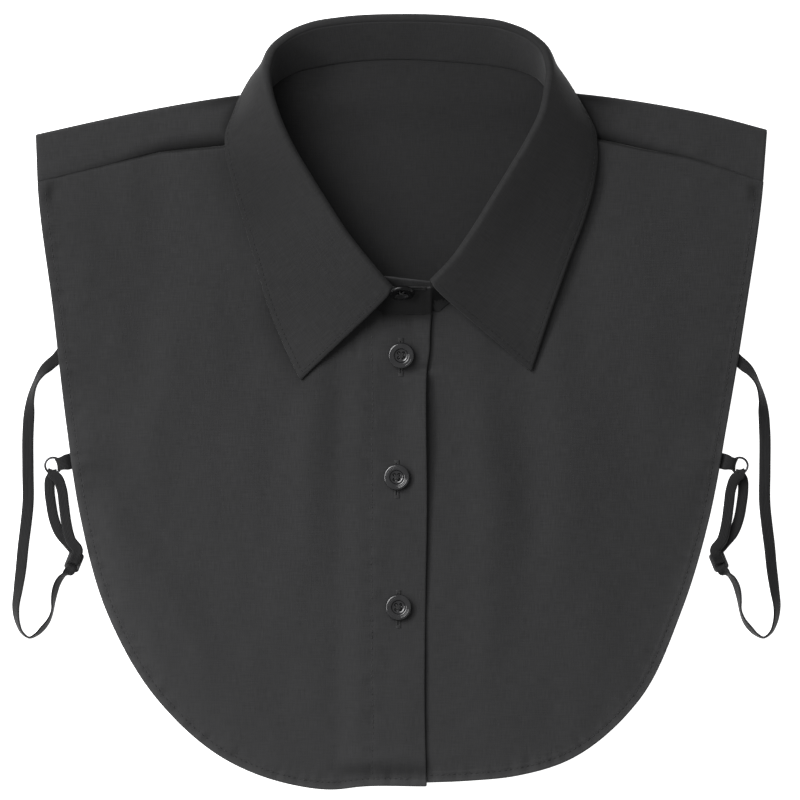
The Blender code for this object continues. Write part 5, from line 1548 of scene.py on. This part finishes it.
# ---- buttons
@dataclass
class Buttons:
    """Four dished buttons, each held by crossed thread, with stitched buttonholes under them."""

    rim: Rows = (
        # radius, height: from the underside round the rim to the dish
        (0, 0), (3.9, 0), (4.6, 0.12), (5.25, 0.5), (5.62, 1), (5.7, 1.45), (5.62, 1.85), (5.42, 2.14),
        (5.15, 2.30), (4.85, 2.35), (4.65, 2.33), (4.52, 2.27), (4.40, 2.31), (4.15, 2.30), (4.02, 2.25),
        (3.90, 2.29), (3.70, 2.28), (3.45, 2.22), (3.2, 2.04), (2.9, 1.66),
        (2.6, 1.42), (2.2, 1.28), (1.6, 1.22), (0, 1.2),
    )
    segments: int = 144
    rings: int = 110
    dish_rings: int = 56
    dish_radius: float = 2.6
    dish_floor: float = 1.0  # below the dish, over the underside
    pole: float = 0.02
    hole_offset: float = 1.05
    hole_radius: float = 0.68
    hole_depth: float = 1.0
    strands: tuple[float, ...] = (-0.26, 0.0, 0.26)
    strand_height: float = 1.52
    strand_radius: float = 0.15
    gap: float = 0.35
    cloth_half: float = 0.5
    places: tuple[tuple[str, float, float], ...] = (
        ("button_1", 2.2, 20.9),
        ("button_2", 0.4, -32.8),
        ("button_3", 1.1, -90.0),
    )
    stand_x: float = 2.6
    stand_share: float = 0.99
    stand_tilt: float = 13.0
    stand_half: float = 1.25
    stand_hole: Pair = (4.0, 9.6)  # how far a buttonhole runs back and on
    front_hole: Pair = (8.5, 6.6)
    bar_reach: float = 1.1
    bar_pitch: float = 0.42
    lip: float = 0.14
    bar_radius: float = 0.235

    def body(self) -> tuple[Array, Faces]:
        """One button as a turned profile; each thread hole sinks the face by a smooth step of its distance."""
        profile = Curve(self.rim).part(self.rings)
        profile[:, 0] = np.maximum(profile[:, 0], 0.0)
        profile[0, 0] = profile[-1, 0] = self.pole
        dish = np.flatnonzero((profile[:, 1] > self.dish_floor) & (profile[:, 0] < self.dish_radius))
        inner = np.linspace(profile[dish[0], 0], self.pole, self.dish_rings)
        level = np.interp(inner, profile[dish, 0][::-1], profile[dish, 1][::-1])
        profile = np.vstack([profile[: dish[0]], np.column_stack([inner, level])])
        angle = np.linspace(0.0, 2 * math.pi, self.segments, endpoint=False)
        x, y = profile[:, :1] * np.cos(angle), profile[:, :1] * np.sin(angle)
        away = np.hypot(np.abs(x) - self.hole_offset, np.abs(y) - self.hole_offset)
        sink = 1.0 - ease(away, self.hole_radius * 0.72, self.hole_radius * 1.12)
        upper = (np.arange(len(profile)) >= dish[0])[:, None]
        z = profile[:, 1:] - np.where(upper, sink * self.hole_depth, 0.0)
        points = np.dstack([x, y, z]).reshape(-1, 3)
        under, over = np.full((2, self.segments), len(points)) + [[0], [1]]
        points = np.vstack([points, (0.0, 0.0, 0.0), (0.0, 0.0, z[-1].mean())])
        first = np.arange(self.segments)
        after = np.roll(first, -1)
        last = (len(profile) - 1) * self.segments
        low, high = np.stack([after, under, first], axis=1), np.stack([first + last, after + last, over], axis=1)
        faces = grid_faces(len(profile), self.segments, round_columns=True)[:, ::-1]
        return points, faces.tolist() + low.tolist() + high.tolist()

    def thread(self) -> tuple[Array, Faces]:
        """Strands from hole to hole across both diagonals, arched over the dish and sunk into the holes."""
        t = np.linspace(-1.0, 1.0, 13)
        reach = self.hole_offset * math.sqrt(2.0) + 0.1
        paths = []
        for turn, lift in ((45.0, 0.0), (135.0, 0.26)):
            forward, aside = heading(turn), heading(turn + 90.0)
            for offset in self.strands:
                drop = 18.0 * np.maximum(np.abs(t) - 0.72, 0.0) ** 2
                height = self.strand_height + lift - 0.08 * abs(offset) - drop
                path = forward * (t * reach)[:, None] + aside * (offset * (1 - 0.35 * t**2))[:, None]
                paths.append(path + UP * height[:, None])
        paths = np.array(paths)
        forward = unit(np.gradient(paths, axis=1))
        side = unit(np.cross(forward, UP))
        return tube(paths, side, np.cross(side, forward), np.full(paths.shape[:2], self.strand_radius))

    def seat(self, name: str, base: Array, normal: Array, finish: Finish) -> None:
        """Puts a button and its thread over a base on the cloth, facing along a normal."""
        right = unit(np.cross(ONWARD, normal))
        turned = np.stack([right, np.cross(normal, right), normal])
        points, faces = self.body()
        add_mesh(f"{name}_body", points @ turned + base, faces, finish, "button_gloss", node=name)
        points, faces = self.thread()
        add_mesh(f"{name}_thread", points @ turned + base, faces, Finish.THREAD, "cotton")

    def buttonhole(
        self, centre: Array, axes: Array, reach: Pair, lie: Callable[[Array], Array] | None = None
    ) -> tuple[Array, Faces]:
        """Close stitches across both lips of a slit, and a bar of longer ones at each end.

        Args:
            centre: the slit's reference point.
            axes: unit directions of the slit, across it and away from the cloth.
            reach: how far the slit runs back from the centre and on from it.
            lie: moves points on to the cloth, where it isn't flat.

        Returns:
            Points and faces of the stitches.
        """
        forward, across, up = axes
        run = np.arange(-reach[0], reach[1], self.bar_pitch)
        t = np.linspace(0.0, 1.0, 7)
        length = self.bar_reach - self.lip + 0.1 * ripples(run, 0 * run, 1.7, 51, 6)[:, None]
        lips = [side * (self.lip + t * length) for side in (-1.0, 1.0)]
        paths = [centre + forward * run[:, None, None] + across * out[..., None] for out in lips]
        bar = np.broadcast_to((2 * t - 1) * self.bar_reach * 1.05, (4, 7))[..., None]
        for end in (-reach[0] - 0.15, reach[1] + 0.15):
            paths.append(centre + forward * (end + np.linspace(-0.5, 0.5, 4))[:, None, None] + across * bar)
        paths = np.concatenate(paths)
        arch = 0.20 * np.sin(math.pi * t) ** 0.6 - 0.05
        paths = (lie(paths) if lie else paths) + up * arch[None, :, None]
        side = unit(np.cross(unit(np.gradient(paths, axis=1)), up))
        return tube(paths, side, np.broadcast_to(up, side.shape), np.full(paths.shape[:2], self.bar_radius))

    def build(self, front: Front, collar: Collar) -> None:
        """The three buttons of the left front and the one of the collar's stand, with their buttonholes."""
        holes = []
        step = 3.0
        for name, x, y in self.places:
            slopes = [
                float(DRAPE.left_front(x + dx, y + dy) - DRAPE.left_front(x - dx, y - dy)) / (2 * step)
                for dx, dy in ((step, 0.0), (0.0, step))
            ]
            normal = unit(np.array((-slopes[0], -slopes[1], 1.0)))
            base = np.array((x, y, float(DRAPE.left_front(x, y)))) + normal * (self.cloth_half + self.gap)
            self.seat(name, base, normal, Finish.BUTTON)
            axes = np.array((ONWARD, ACROSS, UP))
            start = np.array((x, y, 0.0))
            holes.append(self.buttonhole(start, axes, self.front_hole, lambda paths: front.face(paths[..., :2])))
        add_mesh("front_buttonholes", *joined(holes), Finish.THREAD, "cotton")
        (_, foot_y), (_, top_y, top_z) = collar.left_end
        foot = np.array((self.stand_x, foot_y, float(DRAPE.left_front(self.stand_x, foot_y))))
        top = np.array((self.stand_x, top_y, top_z))
        up = unit(top - foot)
        normal = np.cross(ACROSS, up)
        spot = foot + (top - foot) * self.stand_share
        tilt = math.radians(self.stand_tilt)
        facing = normal * math.cos(tilt) - up * math.sin(tilt)
        # the stand's button takes the darker, duller finish: painted shade
        self.seat("button_stand", spot + normal * (self.stand_half + self.gap), facing, Finish.WORN_BUTTON)
        surface = spot + normal * (collar.wall / 2 + 0.02)
        hole = self.buttonhole(surface, np.array((ACROSS, up, normal)), self.stand_hole)
        add_mesh("stand_buttonhole", *hole, Finish.COLLAR_THREAD, "collar_cotton")


# ---- side straps
def heading(degrees: float) -> Array:
    """A level direction."""
    return np.array((math.cos(math.radians(degrees)), math.sin(math.radians(degrees)), 0.0))


@dataclass
class SideStrap:
    """One side's elastic with its slider, ring and folded tab; the right one mirrors the left."""

    side: str
    width: float = 4.6
    wall: float = 0.9
    cells: int = 10
    step: float = 0.7
    rim_thin: float = 0.35
    floor_gap: float = 0.02
    start: Rows = ((-145.6, 24.2), (-147.2, 21.9))
    route: Rows = (
        # x, y, twist in degrees
        (-149, 19.6, 0), (-152.6, 16.4, 6), (-155.8, 13.2, 40), (-158.4, 9, 64), (-160.6, 2, 50),
        (-161.3, -4.2, 20), (-161.9, -14.3, 4), (-161.9, -29.7, 0), (-161.9, -45.1, 4),
        (-162.8, -53.9, 8), (-163.9, -62.7, 12), (-165, -73.7, 20), (-166.2, -82.5, 34),
        (-167.2, -90.4, 52), (-166.3, -97, 66), (-164.4, -101.2, 78), (-161.2, -103.4, 86),
        (-158.2, -102, 76), (-155.3, -99.2, 66), (-152.7, -95.7, 74), (-151.1, -91.3, 82),
        (-150.7, -87.2, 70), (-150.1, -83.4, 60), (-149.1, -80, 58), (-147.5, -77.2, 62),
        (-145.6, -75.3, 68),
    )
    slider_centre: Pair = (-141.6, -69.8)
    slider_heading: float = 68.0
    thread_in: Rows = (
        # along the slider, across it, height
        (-4.2, 0, 3.25), (-2.9, 0, 3.1), (-2.05, 0, 1.85), (-1.25, 0, 0.7),
        (0, 0, 0.55), (1.25, 0, 0.7), (2.05, 0, 1.85), (2.9, 0, 3.1), (4.4, 0, 3.25),
    )
    thread_end: Rows = (
        (4.6, 0, 4.7), (3.2, 0, 4.65), (1.7, 0, 4), (0.4, 0, 3.4), (-0.8, 0, 3.3),
    )
    run_up: Rows = (
        # x, y, height
        (-141.9, -64.4, 3.1), (-144.4, -61.6, 2.7), (-147.9, -57.4, 2.2), (-150.3, -51.6, 1.6),
        (-151.7, -44.5, 1), (-152.4, -38, 0.62), (-152.2, -34, 0.55),
    )
    run_back: Rows = (
        (-149, -33, 3.5), (-147.1, -37.5, 3.3), (-146, -45, 3.2), (-144.9, -53, 3.7), (-142.9, -60.6, 4.6),
    )
    ring_heading: float = -98.0
    run_width: float = 4.1
    turn_width: float = 3.4
    turn_bow: float = 0.55
    turn_gap: float = 0.8  # from the wire to the middle of the band
    ring_centre: tuple[float, float, float] = (-150.8, -27.7, 2.0)
    ring_radius: float = 3.5
    ring_wire: float = 0.55
    tab_heading: float = 14.0
    tab_width: float = 6.4
    tab_turn_width: float = 5.2
    tab_sides: tuple[Rows, Rows] = (
        # along and height, below the ring and above it
        ((10.5, 0.5), (6.5, 0.5), (3.2, 0.5)),
        ((2.6, 3.2), (4.6, 2.2), (6.5, 1.95), (10.5, 1.85)),
    )
    frame_size: Pair = (8.8, 6.9)
    frame_border: float = 1.3
    frame_bar: float = 1.2
    frame_heights: Pair = (1.4, 2.4)
    frame_corner: float = 1.6
    wire_steps: tuple[int, int] = (72, 20)
    frame_steps: int = 96

    def mirrored(self, points: Array) -> Array:
        """Left-hand points as they are, or mirrored to the right."""
        across = -1.0 if self.side == "right" else 1.0
        middle = DRAPE.mirror_x * ACROSS
        return (points - middle) * (across, 1.0, 1.0) + middle if across < 0 else points

    def ring_turn(self, way: float, steps: int) -> tuple[Array, Array, Array]:
        """Half a circle round the ring's wire where a heading meets it, from under it to over it.

        Gives the band's centres, its direction across and the way its edges bow at each centre.
        """
        out = heading(way)
        radius = self.ring_wire + self.turn_gap
        angle = np.linspace(0.0, math.pi, steps + 1)[:, None]
        limb = np.array(self.ring_centre) + out * self.ring_radius
        centres = limb - (out * np.sin(angle) + UP * np.cos(angle)) * radius
        return centres, heading(way + 90.0), -out * np.sin(angle)

    def in_slider(self, places: Rows) -> Array:
        """Points given along and across the slider and up, in the garment's frame."""
        axes = np.stack([heading(self.slider_heading), heading(self.slider_heading - 90.0), UP])
        return np.array((*self.slider_centre, 0.0)) + np.array(places) @ axes

    def standing(self, width: Array | float, twist: Array) -> Array:
        """How high the middle of a twisted band is when its lower edge lies on the surface."""
        angle = np.radians(twist)
        return (width * np.sin(angle) + self.wall * np.cos(angle)) / 2

    def flat_run(self, points: Array | Rows) -> Array:
        """Rows of the centre line where the band lies flat."""
        return np.column_stack([points, np.tile((0.0, self.run_width, 0.0), (len(points), 1))])

    def centre_line(self) -> Array:
        """Rows of x, y, z, twist, width and bow at the points that shape the elastic."""
        route = np.array(self.route)
        twist, wide = route[:, 2], np.full(len(route), self.width)
        start = np.array([(x, y, self.wall / 2, 0.0, self.width, 0.0) for x, y in self.start])
        long = np.column_stack([route[:, :2], self.standing(wide, twist), twist, wide, 0 * wide])
        turn, _, bows = self.ring_turn(self.ring_heading, 6)
        bow = np.linalg.norm(bows, axis=1) * self.turn_bow
        rounding = np.column_stack([turn, 0 * bow, np.full(len(turn), self.turn_width), bow])
        into, end = (self.flat_run(self.in_slider(places)) for places in (self.thread_in, self.thread_end))
        return np.vstack([start, long, into, self.flat_run(self.run_up), rounding, self.flat_run(self.run_back), end])

    def add_band(self, name: str, node: str, centres: Array, halves: Array, bows: Array) -> None:
        """A ribbon: offsets across it from half widths, its edges pushed by the bow times the offset's square.

        Args:
            name: the piece's name.
            node: the frame's node that it replaces.
            centres: points along its middle.
            halves: half its width at each, as a vector across it.
            bows: how its edges are pushed at each.
        """
        offsets = np.linspace(-1.0, 1.0, self.cells + 1)[:, None]
        points = self.mirrored(centres[:, None] + halves[:, None] * offsets + bows[:, None] * offsets**2)
        shape = points.shape[:2]
        width = np.linalg.norm(halves, axis=1)[:, None] * offsets.T
        uv = np.dstack([width, np.broadcast_to(lengths(centres)[:, None], shape)]).reshape(-1, 2)
        wall = np.broadcast_to(self.wall * (1.0 - self.rim_thin * np.abs(offsets.T) ** 6), shape).ravel()
        points, faces, uv = shell(points.reshape(-1, 3), grid_faces(*shape), wall, uv)
        points[:, 2] += max(0.0, self.floor_gap - points[:, 2].min())
        add_mesh(name, points, turned_out(points, faces.tolist()), Finish.ELASTIC, "elastic", uv, node)

    def elastic(self) -> None:
        """The whole elastic, from the back's side edge through slider and ring to its sewn end."""
        rows = self.centre_line()
        run = lengths(rows[:, :3])
        shares = np.linspace(0.0, 1.0, int(run[-1] / self.step))
        sampled = Curve(rows, run).at(shares)
        centres, twists, widths, bows = sampled[:, :3], sampled[:, 3], sampled[:, 4], sampled[:, 5]
        centres[:, 2] = np.maximum(centres[:, 2], self.standing(widths, twists))
        forward = unit(np.gradient(centres, axis=0))
        level = widthways(forward)
        stray = 1.6 * ripples(shares * run[-1], 0 * shares, 18.0, 61 + len(self.side))
        angle = np.radians(twists + stray)[:, None]
        halves = (level * np.cos(angle) + np.cross(forward, level) * np.sin(angle)) * widths[:, None] / 2
        inward = (np.array(self.ring_centre) - centres) * (1.0, 1.0, 0.0)
        self.add_band(f"elastic_{self.side}", f"strap_{self.side}", centres, halves, unit(inward) * bows[:, None])

    def tab(self) -> None:
        """The folded tape that holds the ring."""
        inward = heading(self.tab_heading)
        turn, tangent, bows = self.ring_turn(self.tab_heading, 12)
        limb = np.array(self.ring_centre) * (1.0, 1.0, 0.0) + inward * self.ring_radius
        low, high = (limb + inward * part[:, :1] + UP * part[:, 1:] for part in map(np.array, self.tab_sides))
        half, half_turn = self.tab_width / 2, self.tab_turn_width / 2
        wide = [half] * len(low) + [half_turn] * len(turn) + [half] * len(high)
        bow = np.hstack([np.zeros(len(low)), np.linalg.norm(bows, axis=1) * self.turn_bow, np.zeros(len(high))])
        rows = np.column_stack([np.vstack([low, turn, high]), wide, bow])
        sampled = Curve(rows, lengths(rows[:, :3])).at(np.linspace(0.0, 1.0, 70))
        halves, pushed = tangent * sampled[:, 3:4], -inward * sampled[:, 4:5]
        self.add_band(f"tab_{self.side}_tape", f"tab_{self.side}", sampled[:, :3], halves, pushed)

    def ring(self) -> None:
        """A torus of round wire."""
        around, inside = (np.linspace(0.0, 2 * math.pi, steps, endpoint=False) for steps in self.wire_steps)
        around = around[:, None]
        reach = self.ring_radius + self.ring_wire * np.cos(inside)
        lift = np.broadcast_to(self.ring_wire * np.sin(inside), (len(around), len(inside)))
        points = np.dstack([reach * np.cos(around), reach * np.sin(around), lift]).reshape(-1, 3)
        points = self.mirrored(points + np.array(self.ring_centre))
        faces = turned_out(points, grid_faces(*self.wire_steps, True, True).tolist())
        add_mesh(f"ring_{self.side}_wire", points, faces, Finish.RING, "ring_metal", node=f"ring_{self.side}")

    def slider(self) -> None:
        """A rounded frame swept round its outline, with a bar across the middle."""
        low, high = self.frame_heights
        middle, half = UP * (low + high) / 2, (high - low) / 2
        corner = self.frame_corner - self.frame_border / 2
        reach = (np.array(self.frame_size) - self.frame_border) / 2
        angle = np.linspace(0.0, 2 * math.pi, self.frame_steps, endpoint=False) + 1e-4
        out = np.stack([np.cos(angle), np.sin(angle), 0 * angle], axis=1)
        path = np.sign(out) * (*(reach - corner), 0.0) + out * corner
        wide, tall = oval(self.frame_border / 2, half)
        rim = path[:, None] + out[:, None] * wide + UP * tall + middle
        sides, stations = len(wide), 9
        parts = [(rim.reshape(-1, 3), grid_faces(len(path), sides, True, True).tolist())]
        wide, tall = oval(self.frame_bar / 2, half * 0.9)
        bar_y = reach[1] * np.linspace(-1.0, 1.0, stations)[:, None, None]
        bar = ACROSS * wide + UP * tall + middle + ONWARD * bar_y
        near = list(range(sides))
        caps = [near, [spot + (stations - 1) * sides for spot in near[::-1]]]
        parts.append((bar.reshape(-1, 3), grid_faces(stations, sides, round_columns=True).tolist() + caps))
        axes = np.stack([heading(self.slider_heading), heading(self.slider_heading + 90.0), UP])
        shapes = []
        for points, faces in parts:
            placed = self.mirrored(np.array((*self.slider_centre, 0.0)) + points @ axes)
            shapes.append((placed, turned_out(placed, faces)))
        name = f"slider_{self.side}"
        add_mesh(f"{name}_frame", *joined(shapes), Finish.SLIDER, "slider_plastic", node=name)

    def build(self) -> None:
        """All of the side's pieces."""
        self.elastic()
        self.tab()
        self.ring()
        self.slider()


def oval(half_width: float, half_height: float) -> tuple[Array, Array]:
    """Width and height along a squarish oval, from the signed power 0.6 of cosine and sine."""
    turn = np.linspace(0.0, 2 * math.pi, 20, endpoint=False)[:, None]
    cosine, sine = (np.sign(wave) * np.abs(wave) ** 0.6 for wave in (np.cos(turn), np.sin(turn)))
    return half_width * cosine, half_height * sine


def turned_out(points: Array, faces: Faces) -> Faces:
    """The faces, turned over if the mesh's signed volume, from fans of triangles, is negative.

    Args:
        points: the mesh's points.
        faces: its faces, all turned the same way.

    Returns:
        The faces.
    """
    volume = 0.0
    for size in {len(face) for face in faces}:
        loops = np.array([face for face in faces if len(face) == size])
        for corner in range(1, size - 1):
            a, b, c = (points[loops[:, i]] for i in (0, corner, corner + 1))
            volume += (a * np.cross(b, c)).sum()
    return faces if volume >= 0 else [face[::-1] for face in faces]


def widthways(forward: Array) -> Array:
    """Level directions across a band that turns over without flipping: each keeps near the one before.

    Args:
        forward: the band's unit direction at each station.

    Returns:
        A unit direction across it at each.
    """
    level = np.cross(UP, forward[0])
    found = []
    for tangent in forward:
        flat = np.cross(UP, tangent)
        if np.linalg.norm(flat) > 0.35:
            level = flat if np.dot(flat, level) > 0 else -flat
        level = unit(level - tangent * np.dot(level, tangent))
        found.append(level)
    return np.array(found)


# ---- studio
@dataclass
class Studio:
    """A pale surface, soft light from the upper left and a camera straight above."""

    camera_height: float = 6.0
    view_width: float = 0.352
    centre: Pair = (0.0016, 0.00055)
    sensor: float = 36.0
    world: float = 0.43
    reach: float = 3.0

    def build(self) -> None:
        """Floor, lights, world and camera."""
        scene = bpy.context.scene
        scene.view_settings.view_transform = "Standard"
        mesh = bpy.data.meshes.new("tabletop")
        corners = [(x * self.reach, y * self.reach, 0.0) for x, y in ((-1, -1), (1, -1), (1, 1), (-1, 1))]
        mesh.from_pydata(corners, [], [(0, 1, 2, 3)])
        mesh.materials.append(Finish.TABLETOP.material())
        self.object("tabletop", mesh, (0.0, 0.0, 0.0))
        self.area("key_light", (-1.15, 0.36, 1.0), (1.8, 0.36), 25.0)
        self.area("top_light", (-0.7, 0.6, 1.3), (0.9, 0.9), 20.0)
        scene.world = scene.world or bpy.data.worlds.new("studio")
        scene.world.use_nodes = True
        backdrop = scene.world.node_tree.nodes["Background"]
        backdrop.inputs["Color"].default_value = (1.0, 1.0, 1.0, 1.0)
        backdrop.inputs["Strength"].default_value = self.world
        lens = bpy.data.cameras.new("camera")
        lens.sensor_width = self.sensor
        lens.lens = self.sensor * self.camera_height / self.view_width
        lens.clip_end = 50.0
        scene.camera = self.object("camera", lens, (*self.centre, self.camera_height))

    def object(self, name: str, data: bpy.types.ID, place: tuple[float, float, float]) -> bpy.types.Object:
        """A new object of the scene at a place in metres."""
        made = bpy.data.objects.new(name, data)
        made.location = place
        bpy.context.scene.collection.objects.link(made)
        return made

    def area(self, name: str, place: tuple[float, float, float], size: Pair, power: float) -> None:
        """A rectangular light that faces the garment, its first side level; lengths in metres, power in watts."""
        data = bpy.data.lights.new(name, "AREA")
        data.shape = "RECTANGLE"
        data.size, data.size_y = size
        data.energy = power
        lamp = self.object(name, data, place)
        x, y, z = place
        lamp.rotation_euler = (math.atan2(math.hypot(x, y), z), 0.0, math.atan2(y, x) + math.pi / 2)


# ---- assembly
@dataclass(frozen=True)
class Cut:
    """A cloth piece's flat size in metres and the share of that rectangle that its cut fills."""

    width: float
    length: float
    fill: float

    def declare(self, piece: bpy.types.Object, rests_on: Sequence[str]) -> None:
        """Does nothing; the frame is told nothing of the cut."""


def main() -> None:
    """Builds every piece over the frame."""
    logging.basicConfig(level=logging.INFO, format="%(name)s: %(message)s")
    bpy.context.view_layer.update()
    back = Back().build()
    Cut(0.322, 0.313, 0.80).declare(back, ["tabletop"])
    fronts = {side: Front(side) for side in ("left", "right")}
    cuts = {"left": Cut(0.177, 0.284, 0.72), "right": Cut(0.178, 0.285, 0.72)}
    for side in ("right", "left"):
        piece = fronts[side].build()
        cuts[side].declare(piece, ["back_cloth"])
        fronts[side].stitching()
    collar = Collar()
    stand, fall = collar.build()
    Cut(0.40, 0.022, 0.8).declare(stand, ["back_cloth"])
    Cut(0.40, 0.055, 0.7).declare(fall, ["front_left_cloth", "front_right_cloth"])
    collar.edge_stitching()
    Buttons().build(fronts["left"], collar)
    for side in ("left", "right"):
        SideStrap(side).build()
    Studio().build()


if __name__ == "__main__":
    main()
